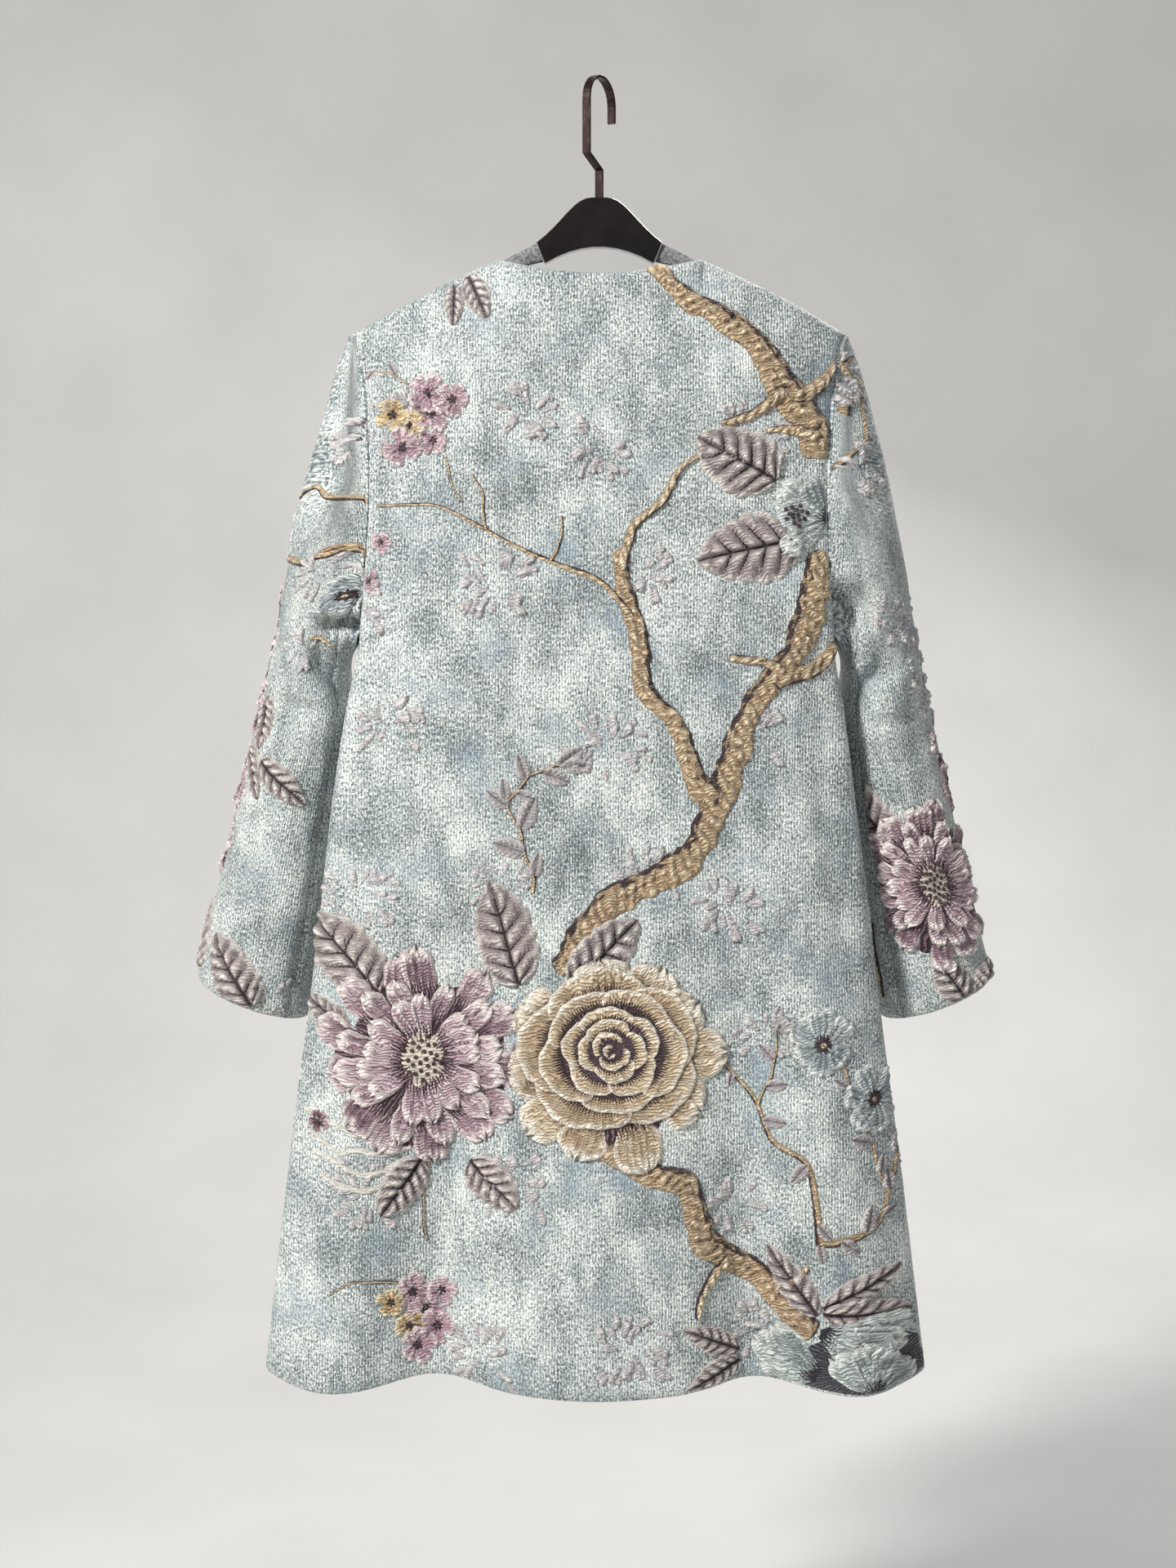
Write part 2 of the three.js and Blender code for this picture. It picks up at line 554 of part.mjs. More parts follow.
// ---------------------------------------------------------------- the hanger
// The ridge of an arm lies just under the cloth, whose wall is upright under the sloping seam.
const underCloth = 3.6;
const armRidge = (x) => shoulderZ(x) - underCloth;

// The centre piece: a bell with an arched underside, extruded through its thickness.
function centreOutline() {
  const shoulderZ = armRidge(HANGER.half);
  const low = shoulderZ - HANGER.armDrop * 1.15;
  const outline = new THREE.Shape();
  outline.moveTo(-HANGER.half, shoulderZ);
  outline.bezierCurveTo(-30, shoulderZ + 17, -22, HANGER.neckTop, -6, HANGER.neckTop);
  outline.lineTo(6, HANGER.neckTop);
  outline.bezierCurveTo(22, HANGER.neckTop, 30, shoulderZ + 17, HANGER.half, shoulderZ);
  outline.lineTo(HANGER.half - 7, low);
  outline.quadraticCurveTo(0, HANGER.archTop * 2 - low, -HANGER.half + 7, low);
  return outline;
}

async function solid(geometry) {
  const bare = geometry.clone().deleteAttribute("normal").deleteAttribute("uv");
  const merged = mergeVertices(bare, 1e-3);
  return new wasm.Manifold(new wasm.Mesh({
    numProp: 3,
    vertProperties: merged.attributes.position.array,
    triVerts: new Uint32Array(merged.index.array),
  }));
}

function fromSolid(made) {
  const mesh = made.getMesh();
  const geometry = new THREE.BufferGeometry();
  geometry.setAttribute("position", new THREE.Float32BufferAttribute(mesh.vertProperties, 3));
  geometry.setIndex(new THREE.BufferAttribute(mesh.triVerts, 1));
  return geometry;
}

const wasm = await Module();
wasm.setup();
const bell = new THREE.ExtrudeGeometry(centreOutline(), {
  depth: HANGER.thick - 3, curveSegments: 9,
  bevelThickness: 1.5, bevelSize: 1.2, bevelOffset: -1.2, bevelSegments: 2,
});
bell.rotateX(Math.PI / 2).translate(0, (HANGER.thick - 3) / 2, 0);
const socket = new THREE.BoxGeometry(HOOK.wide + 2 * SEAM_GAP, HOOK.thick + 2 * SEAM_GAP, HOOK.socket * 2);
socket.rotateZ(radians(HOOK.turn) - Math.PI / 2).translate(0, 0, HANGER.neckTop);
add("hanger_centre", fromSolid((await solid(bell)).subtract(await solid(socket))), COLOURS.gloss, 0.2);

// An arm: rings from the centre piece to the tip, ridged on top to lie along the shoulder seam.
function hangerArm(sign) {
  const around = 12;
  const xs = steps(HANGER.half + SEAM_GAP, HANGER.armTip, 10);
  const rings = xs.map((x, k) => {
    const share = k / (xs.length - 1);
    const wide = THREE.MathUtils.lerp(HANGER.armHalf, HANGER.tipHalf, share);
    const tall = HANGER.armDrop * (1 - 0.25 * share ** 4);
    return Array.from({ length: around }, (_, i) => {
      const a = (i / around) * 2 * Math.PI;
      const up = Math.cos(a);
      return new THREE.Vector3(sign * x, wide * Math.sin(a), armRidge(x) - (tall / 2) * (1 - up));
    });
  });
  const positions = rings.flat().flatMap((p) => [p.x, p.y, p.z]);
  const faces = [];
  for (let k = 1; k < rings.length; k++)
    for (let i = 0; i < around; i++) {
      const n = (i + 1) % around;
      const [a, b, c, d] = [(k - 1) * around + i, k * around + i, k * around + n, (k - 1) * around + n];
      faces.push(a, b, c, a, c, d);
    }
  for (let i = 1; i < around - 1; i++) {
    const end = (rings.length - 1) * around;
    faces.push(0, i, i + 1, end, end + i + 1, end + i);
  }
  const geometry = new THREE.BufferGeometry();
  geometry.setAttribute("position", new THREE.Float32BufferAttribute(positions, 3));
  geometry.setIndex(faces);
  return facingOut(geometry);
}
add("hanger_arm_right", hangerArm(1), COLOURS.grip, 0.85);
add("hanger_arm_left", hangerArm(-1), COLOURS.grip, 0.85);

// The hook: a flat steel strip that stands in the socket, steps aside, and bends over the rail.
// Its middle line is drawn in its own plane, across and up, and given its thickness by an offset.
function hookOutline() {
  const r = HOOK.bend;
  const t = HOOK.thick;
  const outline = new THREE.Shape();
  const stem = t / 2;
  outline.moveTo(stem, HANGER.neckTop - HOOK.socket + SEAM_GAP);
  outline.lineTo(stem, HOOK.stemTop + 1);
  outline.lineTo(-r, HOOK.legBottom + 1);
  outline.lineTo(-r, -r);
  outline.absarc(0, -r, r, Math.PI, 0, true);
  outline.lineTo(r, HOOK.tipZ);
  outline.lineTo(r + t, HOOK.tipZ);
  outline.lineTo(r + t, -r);
  outline.absarc(0, -r, r + t, 0, Math.PI, false);
  outline.lineTo(-r - t, HOOK.legBottom);
  outline.lineTo(-stem, HOOK.stemTop);
  outline.lineTo(-stem, HANGER.neckTop - HOOK.socket + SEAM_GAP);
  return outline;
}
const hook = new THREE.ExtrudeGeometry(hookOutline(), {
  depth: HOOK.wide - 1, curveSegments: 9,
  bevelThickness: 0.5, bevelSize: 0.4, bevelOffset: -0.4, bevelSegments: 1,
});
hook.rotateX(Math.PI / 2).translate(0, (HOOK.wide - 1) / 2, 0).rotateZ(radians(HOOK.turn));
add("hanger_hook", hook, COLOURS.steel, 0.3, 0.9);

export default group;
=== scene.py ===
import math

import bpy
import numpy as np
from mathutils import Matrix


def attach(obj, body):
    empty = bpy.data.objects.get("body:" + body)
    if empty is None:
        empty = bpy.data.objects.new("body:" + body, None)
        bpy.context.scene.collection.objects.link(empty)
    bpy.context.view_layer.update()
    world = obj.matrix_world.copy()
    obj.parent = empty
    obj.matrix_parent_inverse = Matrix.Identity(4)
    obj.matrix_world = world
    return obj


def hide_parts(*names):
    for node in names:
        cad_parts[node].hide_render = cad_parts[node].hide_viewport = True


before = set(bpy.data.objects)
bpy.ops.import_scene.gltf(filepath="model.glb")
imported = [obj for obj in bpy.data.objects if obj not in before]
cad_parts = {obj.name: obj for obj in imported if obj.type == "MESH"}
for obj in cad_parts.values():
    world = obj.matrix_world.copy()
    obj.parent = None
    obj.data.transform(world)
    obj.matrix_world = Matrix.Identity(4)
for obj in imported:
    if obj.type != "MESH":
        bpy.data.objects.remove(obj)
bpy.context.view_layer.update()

# A collarless coat of raised-figure jacquard on a plastic hanger. Sizes are in millimetres until a
# mesh is made, and then in metres. +Z is up, the coat's back is its -Y side and +X its right sleeve.
MM = 0.001


def table(names, rows):
    return dict(zip(names.split(), np.array(rows, float).T))


# ---------------------------------------------------------------- the coat's own sizes
CLOTH = 2.0  # thickness of the figured cloth
NECK_HALF, NECK_Z = 88, -151.5
NECK_BACK_DROP, NECK_FRONT_DROP, NECK_BACK_Y, NECK_FRONT_Y = 17, 96, 50, 47
SHOULDER_X, SHOULDER_Z, SHOULDER_ROUND, SHOULDER_ARCH = 210.7, -213, 58, 3
LEAN_FROM, LEAN_TO, LEAN_BY = 213, 650, 4
UNDERARM_Z = -478
HEM_Z, HEM_SIDE_LIFT = -1098, 2
FLUTE_START_Z = -520
FRONT_GAP = 3

ARMHOLE = table("turn back_x back_y front_x front_y", [
    (0, 210.7, 0, 210.7, 0), (30, 203, -21, 202, 18), (60, 194, -39, 189, 34),
    (90, 191, -46, 184, 41), (120, 194.5, -45, 186, 33), (150, 200, -37, 195, 12),
    (180, 203, -18, 203, -18),
])
BODY = table("z half_width seam_y back_y front_y back_bend front_bend", [
    (-1110, 287, -17, -95, 92, 0.5, 0.5), (-910, 262, -20, -84, 80, 0.5, 0.5),
    (-770, 243, -22, -75, 72, 0.46, 0.5), (-620, 225, -22, -68, 66, 0.4, 0.47),
    (-530, 212, -21, -65, 62, 0.34, 0.45), (-478, 203, -18, -64, 61, 0.3, 0.44),
    (-458, 203, -18, -63, 60, 0.55, 0.62), (-425, 203, -18, -63, 60, 0.85, 0.9),
    (-345, 203, -18, -62, 58, 1, 1), (-213, 203, -18, -58, 53, 1, 1), (-150, 203, -18, -52, 48, 1, 1),
])
# Flutes of the flare: side, place across, width, push out and fall of the hem.
FLUTES = [
    (-1, -0.83, 0.25, 17, 5), (-1, -0.46, 0.22, -24, -9), (-1, 0.01, 0.34, 14, 2),
    (-1, 0.47, 0.19, -20, -8), (-1, 0.82, 0.22, 17, 7), (1, -0.68, 0.22, 19, 6),
    (1, -0.36, 0.19, -18, -6), (1, -0.08, 0.16, 12, 4), (1, 0.11, 0.15, 9, 3),
    (1, 0.4, 0.19, -19, -6), (1, 0.72, 0.22, 21, 7),
]
SLEEVE = table("ring out_x out_z in_x in_z mid_y half_depth", [
    (0, 210.7, -213, 203, -478, -10, 45), (1, 221, -236, 205.5, -481, -5, 49),
    (2, 236, -287, 208, -485, 2, 53), (3, 252, -342, 210, -491, 10, 56),
    (4, 264, -398, 211, -501, 19, 57), (5, 275, -455, 210, -518, 27, 56),
    (6, 287, -512, 209, -548, 31, 55), (7, 302, -577, 216, -606, 34, 54),
    (8, 318, -645, 228, -676, 38, 53), (9, 336, -713, 240, -746, 43, 51),
    (10, 350, -766, 250, -801, 47, 49),
])
LAST_RING = 10
SLEEVE_PITCH = 0.13
HIND_SEAM, FORE_SEAM = 132, 244  # degrees round a sleeve from its outer line, over the back
BLEND_RINGS = 4
# Bends of the sleeves: arm, ring, turn, length in rings, width in degrees, push out.
SLEEVE_BENDS = [
    (-1, 4.6, 112, 0.55, 30, -9), (-1, 5.6, 120, 0.5, 36, 7), (-1, 6.3, 70, 0.5, 46, -5),
    (1, 3.3, 4, 1.3, 48, -3), (1, 4.9, 104, 0.6, 34, -10), (1, 5.9, 92, 0.5, 40, 6),
    (1, 6.7, 60, 0.5, 50, -4),
]
# Soft hanging creases pressed in: where each starts and ends, its width and its rise.
CREASES = {
    "back": [
        (-178, 500, -202, 720, 15, -3.2), (186, 515, 208, 740, 15, -3.0), (-120, 300, -70, 560, 30, 1.6),
        (118, 290, 150, 420, 22, -1.6), (-6, 205, 8, 430, 46, -1.4), (-165, 640, -120, 700, 14, 1.4),
        (60, 640, 110, 800, 34, 1.6), (-60, 900, -90, 1080, 26, 1.8), (150, 880, 168, 1060, 22, 1.8),
        (-140, 205, -150, 330, 20, -1.5), (20, 1000, 30, 1090, 24, -1.6),
    ],
    "front_left": [
        (-170, 500, -190, 700, 15, -3), (-60, 300, -80, 560, 26, 1.8), (-25, 560, -40, 900, 20, -2.2),
        (-140, 260, -120, 420, 20, -1.8), (-150, 780, -160, 1060, 22, 2),
    ],
    "front_right": [
        (172, 500, 190, 720, 15, -3), (66, 310, 84, 540, 26, 1.8), (28, 600, 36, 940, 20, -2.2),
        (138, 260, 122, 400, 20, -1.8), (140, 800, 156, 1070, 22, 2),
    ],
    "sleeve_right": [
        (96, 436, 156, 470, 15, -19), (80, 488, 140, 502, 9, 4), (40, 492, 104, 524, 8, 3.2),
        (50, 536, 110, 548, 8, -3.4),
        (20, 560, 84, 598, 10, 2.2), (-60, 470, -100, 520, 10, -3), (-30, 300, -20, 420, 16, -2),
        (60, 640, 40, 760, 16, -1.8), (8, 440, 44, 470, 9, -2.4),
    ],
    "sleeve_left": [
        (98, 458, 132, 464, 8, -13), (84, 446, 128, 448, 6, 3), (42, 478, 106, 512, 8, 3.4),
        (48, 520, 108, 536, 8, -3.6),
        (18, 548, 86, 588, 10, 2.4), (-60, 470, -100, 520, 10, -3), (-24, 310, -16, 430, 16, -2),
        (56, 620, 44, 750, 16, -2), (6, 452, 40, 484, 9, -2.2),
    ],
}


# ---------------------------------------------------------------- small maths
def smooth(x, low, high):
    t = np.clip((x - low) / (high - low), 0, 1)
    return t * t * (3 - 2 * t)


def bump(d):
    return np.exp(-2 * d * d)


def column(rows, key, name, x):
    """A column of a table at x, on a monotone cubic through its rows."""
    k, v = rows[key], rows[name]
    x = np.clip(x, k[0], k[-1])
    i = np.clip(np.searchsorted(k, x, side="right") - 1, 0, len(k) - 2)
    slope = np.diff(v) / np.diff(k)
    a, b = slope[:-1], slope[1:]
    total = np.where(a + b == 0, 1, a + b)
    knot = np.concatenate([slope[:1], np.where(a * b <= 0, 0, 2 * a * b / total), slope[-1:]])
    span = k[i + 1] - k[i]
    t = (x - k[i]) / span
    return (
        (1 + 2 * t) * (1 - t) ** 2 * v[i] + t * (1 - t) ** 2 * span * knot[i]
        + t * t * (3 - 2 * t) * v[i + 1] + t * t * (t - 1) * span * knot[i + 1]
    )


def noise(x, y, seed):
    """Smooth noise from -1 to 1, one swell to each unit of x and y."""
    x, y = np.broadcast_arrays(np.asarray(x, float), np.asarray(y, float))
    xi, yi = np.floor(x).astype(np.int64), np.floor(y).astype(np.int64)
    xf, yf = x - xi, y - yi
    xs, ys = xf * xf * (3 - 2 * xf), yf * yf * (3 - 2 * yf)

    def corner(i, j):
        h = (i * 374761393 + j * 668265263 + seed * 974634777) & 0xFFFFFFFF
        h = ((h ^ (h >> 13)) * 1274126177) & 0xFFFFFFFF
        return (h ^ (h >> 16)) / 2147483648.0 - 1

    top = corner(xi, yi) * (1 - xs) + corner(xi + 1, yi) * xs
    low = corner(xi, yi + 1) * (1 - xs) + corner(xi + 1, yi + 1) * xs
    return top * (1 - ys) + low * ys


# ---------------------------------------------------------------- the body's surface
ARM_MID, ARM_HALF = (SHOULDER_Z + UNDERARM_Z) / 2, (SHOULDER_Z - UNDERARM_Z) / 2
NECK_SHARE = NECK_HALF / SHOULDER_X
SIDE_HEM_Z = HEM_Z + HEM_SIDE_LIFT


def body_edge(side, z):
    turn = np.degrees(np.arccos(np.clip((z - ARM_MID) / ARM_HALF, -1, 1)))
    name = "back" if side < 0 else "front"
    below = z < UNDERARM_Z
    x = np.where(below, column(BODY, "z", "half_width", z), column(ARMHOLE, "turn", name + "_x", turn))
    y = np.where(below, column(BODY, "z", "seam_y", z), column(ARMHOLE, "turn", name + "_y", turn))
    return x, y


def shoulder_seam(x):
    """Height of the seam over a shoulder, x mm out from the middle of the neck."""
    along = (x - NECK_HALF) / (SHOULDER_X - NECK_HALF)
    seam = NECK_Z + (SHOULDER_Z - NECK_Z) * along
    return seam + SHOULDER_ARCH * np.sin(np.pi * np.clip(along, 0, 1))


def body_top(side, s):
    a = np.abs(s)
    r = np.clip(a / NECK_SHARE, 0, 1)
    if side < 0:
        drop, y = NECK_BACK_DROP * (1 - r * r), -NECK_BACK_Y * np.sqrt(1 - r * r)
    else:
        drop, y = NECK_FRONT_DROP * (1 - r ** 1.15), NECK_FRONT_Y * np.sqrt(1 - r ** 2.2)
    neck = a < NECK_SHARE
    return np.where(neck, y, 0), np.where(neck, NECK_Z - drop, shoulder_seam(a * SHOULDER_X))


def fluted(side, s, which):
    return sum(f[which] * bump((s - f[1]) / f[2]) for f in FLUTES if f[0] == side)


def body_hem(side, s):
    return HEM_Z + HEM_SIDE_LIFT * s * s - fluted(side, s, 4) * (1 - s ** 12)


def body_surface(side, s, t):
    """s goes across from -1 to 1, t down from the top edge to the hem."""
    top_y, top_z = body_top(side, s)
    edge_z = SHOULDER_Z + t * (SIDE_HEM_Z - SHOULDER_Z)
    edge_x, edge_y = body_edge(side, edge_z)
    z = top_z + t * (body_hem(side, s) - top_z)
    centre = column(BODY, "z", "back_y" if side < 0 else "front_y", z)
    bend = column(BODY, "z", "back_bend" if side < 0 else "front_bend", edge_z)
    round_ = np.clip(1 - np.abs(s) ** (3 if side < 0 else 2.4), 0, 1) ** bend
    grown = (1 - s ** 6) * (1 - smooth(z, HEM_Z - 60, FLUTE_START_Z))
    fallen = np.clip((top_z - z) / SHOULDER_ROUND, 0, 1)
    rise = np.sqrt(1 - (1 - fallen) ** 2)
    y = top_y * (1 - rise) + edge_y + (centre - edge_y) * round_ * rise
    return np.stack([edge_x * s, y + side * fluted(side, s, 3) * grown, z], -1)


# ---------------------------------------------------------------- the sleeve's surface
def ring_surface(turn, ring):
    c, s = np.cos(np.radians(turn)), np.sin(np.radians(turn))
    out_x, in_x = column(SLEEVE, "ring", "out_x", ring), column(SLEEVE, "ring", "in_x", ring)
    out_z, in_z = column(SLEEVE, "ring", "out_z", ring), column(SLEEVE, "ring", "in_z", ring)
    back = -s * column(SLEEVE, "ring", "half_depth", ring)
    x = (out_x + in_x) / 2 + (out_x - in_x) / 2 * c
    z = (out_z + in_z) / 2 + (out_z - in_z) / 2 * c + back * SLEEVE_PITCH * smooth(ring, 0, 5)
    return np.stack([x, column(SLEEVE, "ring", "mid_y", ring) + back, z], -1)


def armhole_surface(turn):
    over = np.where(turn <= 180, turn, 360 - turn)
    back = turn <= 180
    x = np.where(back, column(ARMHOLE, "turn", "back_x", over), column(ARMHOLE, "turn", "front_x", over))
    y = np.where(back, column(ARMHOLE, "turn", "back_y", over), column(ARMHOLE, "turn", "front_y", over))
    return np.stack([x, y, ARM_MID + ARM_HALF * np.cos(np.radians(over))], -1)


def sleeve_surface(arm, turn, ring):
    """turn goes round from the outer line over the back, ring down from the armhole to the cuff."""
    turn = np.mod(turn, 360)
    p = ring_surface(turn, ring)
    own = (1 - smooth(ring, 0, BLEND_RINGS))[..., None]
    p = p + (armhole_surface(turn) - ring_surface(turn, ring * 0)) * own
    for which, at, round_, length, wide, out in SLEEVE_BENDS:
        if which == arm:
            off = np.mod(turn - round_ + 540, 360) - 180
            push = out * bump((ring - at) / length) * bump(off / wide)
            p[..., 0] += push * np.cos(np.radians(turn))
            p[..., 1] -= push * np.sin(np.radians(turn))
    p[..., 0] *= arm
    return p


# ---------------------------------------------------------------- panels
def spread(canvas, reach, times):
    """A canvas with each cell the mean of those within reach of it, worked out several times over."""
    for _ in range(times):
        for axis in (0, 1):
            padded = np.pad(canvas, [(reach, reach) if a == axis else (0, 0) for a in (0, 1)], mode="edge")
            size, steps = canvas.shape[axis], range(2 * reach + 1)
            canvas = sum(np.take(padded, range(i, i + size), axis) for i in steps) / len(steps)
    return canvas


class Panel:
    """A cut piece of the coat. A place on it is two shares of its surface, or mm across and down."""

    canvas_low, canvas_size = (-320, 130), (640, 1000)

    def __init__(self, name, creases, seed):
        self.name, self.creases, self.seed = name, CREASES[creases], seed
        self.raised = np.zeros(self.canvas_size)  # height of the woven figures, a cell to each mm
        self.laid = {}

    def stand(self, u, v, high):
        """Points in metres, high mm above the cloth's surface."""
        (u0, u1), (v0, v1) = self.u_range, self.v_range
        du, dv = (u1 - u0) * 0.002, (v1 - v0) * 0.002
        across = self.surface(np.minimum(u + du, u1), v) - self.surface(np.maximum(u - du, u0), v)
        down = self.surface(u, np.minimum(v + dv, v1)) - self.surface(u, np.maximum(v - dv, v0))
        normal = np.cross(across, down) * self.outward
        normal /= np.maximum(np.linalg.norm(normal, axis=-1, keepdims=True), 1e-9)
        p = self.surface(u, v) + normal * np.asarray(high)[..., None]
        p[..., 0] -= LEAN_BY * smooth(-p[..., 2], LEAN_FROM, LEAN_TO)
        return p * MM

    def grain(self, u, v):
        """Across and down as the cloth's own threads run."""
        return self.flat(u, v)

    def cell(self, across, down):
        return across - self.canvas_low[0], down - self.canvas_low[1]

    def read(self, canvas, across, down):
        x, y = self.cell(across, down)
        x = np.clip(x, 0, canvas.shape[0] - 1.001)
        y = np.clip(y, 0, canvas.shape[1] - 1.001)
        i, j = x.astype(int), y.astype(int)
        f, g = x - i, y - j
        return (
            canvas[i, j] * (1 - f) * (1 - g) + canvas[i + 1, j] * f * (1 - g)
            + canvas[i, j + 1] * (1 - f) * g + canvas[i + 1, j + 1] * f * g
        )

    def paint(self, across, down, high):
        finer = [np.asarray(a, float) for a in (across, down, high)]
        for axis in (0, 1):
            out = []
            for a in finer:
                a = np.swapaxes(a, 0, axis)
                b = np.empty((2 * a.shape[0] - 1,) + a.shape[1:])
                b[::2], b[1::2] = a, (a[:-1] + a[1:]) / 2
                out.append(np.swapaxes(b, 0, axis))
            finer = out
        x, y = self.cell(finer[0], finer[1])
        i, j = np.rint(x).astype(int).ravel(), np.rint(y).astype(int).ravel()
        inside = (i >= 0) & (j >= 0) & (i < self.raised.shape[0]) & (j < self.raised.shape[1])
        np.maximum.at(self.raised, (i[inside], j[inside]), finer[2].ravel()[inside])

    def settle(self):
        """How near each place is to a figure, where the ground puckers, and the height round about it."""
        self.near = spread((self.raised > 0.4).astype(float), 6, 3)
        self.around = spread(self.raised, 3, 2)

    def hang(self, across, down, edge):
        """How far the bare ground stands off the plain surface: creases, puckers and turned edges."""
        high = np.zeros(np.broadcast(across, down).shape)
        for x0, y0, x1, y1, wide, rise in self.creases:
            run = math.hypot(x1 - x0, y1 - y0)
            wx, wy = (x1 - x0) / run, (y1 - y0) / run
            along = ((across - x0) * wx + (down - y0) * wy) / run
            aside = (across - x0) * wy - (down - y0) * wx + 4 * noise(along * 3, 0.5, self.seed)
            fade = smooth(along, -0.25, 0.25) * (1 - smooth(along, 0.75, 1.25))
            high += rise * fade * np.exp(-((aside / wide) ** 2))
        near = self.read(self.near, across, down)
        high += 0.9 * noise(across / 95, down / 120, self.seed + 1)
        high += (0.16 + 0.5 * near) * noise(across / 17, down / 21, self.seed + 2)
        high += (0.08 + 0.45 * near) * noise(across / 7, down / 8, self.seed + 3)
        return high - 1.7 * np.exp(-((edge / 3.4) ** 2)) + 0.5 * np.exp(-(((edge - 9) / 5) ** 2))


class BodyPanel(Panel):
    def __init__(self, name, side, u_range, creases, seed):
        super().__init__(name, creases, seed)
        self.side, self.outward, self.u_range, self.v_range = side, side, u_range, (0, 1)

    def surface(self, u, v):
        return body_surface(self.side, u, v)

    def flat(self, u, v):
        p = self.surface(u, v)
        return p[..., 0], -p[..., 2]

    def share(self, across, down):
        s = across / 230
        for _ in range(14):
            _, top = body_top(self.side, np.clip(s, -1, 1))
            t = (top + down) / (top - body_hem(self.side, np.clip(s, -1, 1)))
            width, _ = body_edge(self.side, SHOULDER_Z + np.clip(t, 0, 1) * (SIDE_HEM_Z - SHOULDER_Z))
            s = across / width
        return s, t

    def edge(self, u, v):
        _, top = body_top(self.side, u)
        tall = top - body_hem(self.side, u)
        width, _ = body_edge(self.side, SHOULDER_Z + v * (SIDE_HEM_Z - SHOULDER_Z))
        sides = np.minimum(u - self.u_range[0], self.u_range[1] - u) * width
        return np.minimum(sides, np.minimum(v, 1 - v) * tall)


class SleevePanel(Panel):
    canvas_low, canvas_size = (-180, 190), (480, 640)

    def __init__(self, name, arm, u_range, creases, seed):
        super().__init__(name, creases, seed)
        self.arm, self.outward, self.u_range, self.v_range = arm, arm, u_range, (0, LAST_RING)

    def surface(self, u, v):
        return sleeve_surface(self.arm, u, v)

    def flat(self, u, v):
        return np.radians(u) * column(SLEEVE, "ring", "half_depth", v), -self.surface(u, v)[..., 2]

    def grain(self, u, v):
        p = self.surface(u, v)
        level = np.interp(-p[..., 2], -(SLEEVE["out_z"] + SLEEVE["in_z"]) / 2, SLEEVE["ring"])
        half = (column(SLEEVE, "ring", "out_x", level) - column(SLEEVE, "ring", "in_x", level)) / 2
        aside = (p[..., 0] * self.arm - column(SLEEVE, "ring", "out_x", level) + half) / half
        behind = column(SLEEVE, "ring", "mid_y", level) - p[..., 1]
        deep = behind / column(SLEEVE, "ring", "half_depth", level)
        turn = np.unwrap(np.arctan2(deep, aside), axis=-1) if p.ndim > 2 else np.arctan2(deep, aside)
        return turn * 50, -p[..., 2]

    def share(self, across, down):
        ring = np.interp(down, -SLEEVE["out_z"], SLEEVE["ring"])
        for _ in range(7):
            inside = np.clip(ring, 0, LAST_RING)
            turn = np.degrees(across / column(SLEEVE, "ring", "half_depth", inside))
            z = self.surface(turn, inside)[..., 2]
            step = (self.surface(turn, np.minimum(inside + 0.1, LAST_RING))[..., 2]
                    - self.surface(turn, np.maximum(inside - 0.1, 0))[..., 2])
            ring = inside + np.clip((-down - z) / np.minimum(step / 0.2, -12), -1, 1)
        return turn, ring

    def edge(self, u, v):
        sides = np.minimum(u - self.u_range[0], self.u_range[1] - u) * 0.8
        return np.minimum(sides, np.minimum(v, LAST_RING - v) * 58)


# ---------------------------------------------------------------- woven figures, each a small raised patch
TALLEST = 12.5  # the most that figures laid on each other rise
RIM_SUNK = 0.45
AROUND = [(1.2, 0), (-1.2, 0), (0, 1.2), (0, -1.2)]
VEINS, VEIN_RAKE = 6, 1.1  # side veins of a leaf, and how far they slant


def lay(panel, cloth, across, down, rise, dome, along, aside, tip, rim, shade, sink=0.35):
    """A patch of figured cloth: its middle rises over what lies under it and its rim sinks in."""
    near = sum(panel.read(panel.raised, across + dx, down + dy) for dx, dy in AROUND)
    under = panel.read(panel.raised, across, down) * 0.5 + near * 0.125
    high = under * (1 - sink * dome) + rise
    high = np.minimum(high, TALLEST) - RIM_SUNK * (dome <= 1e-6)
    panel.paint(across, down, high)
    kept = (across, down, high, along, aside, tip, rim, shade)
    panel.laid.setdefault(cloth, []).append([np.broadcast_to(a, across.shape) for a in kept])


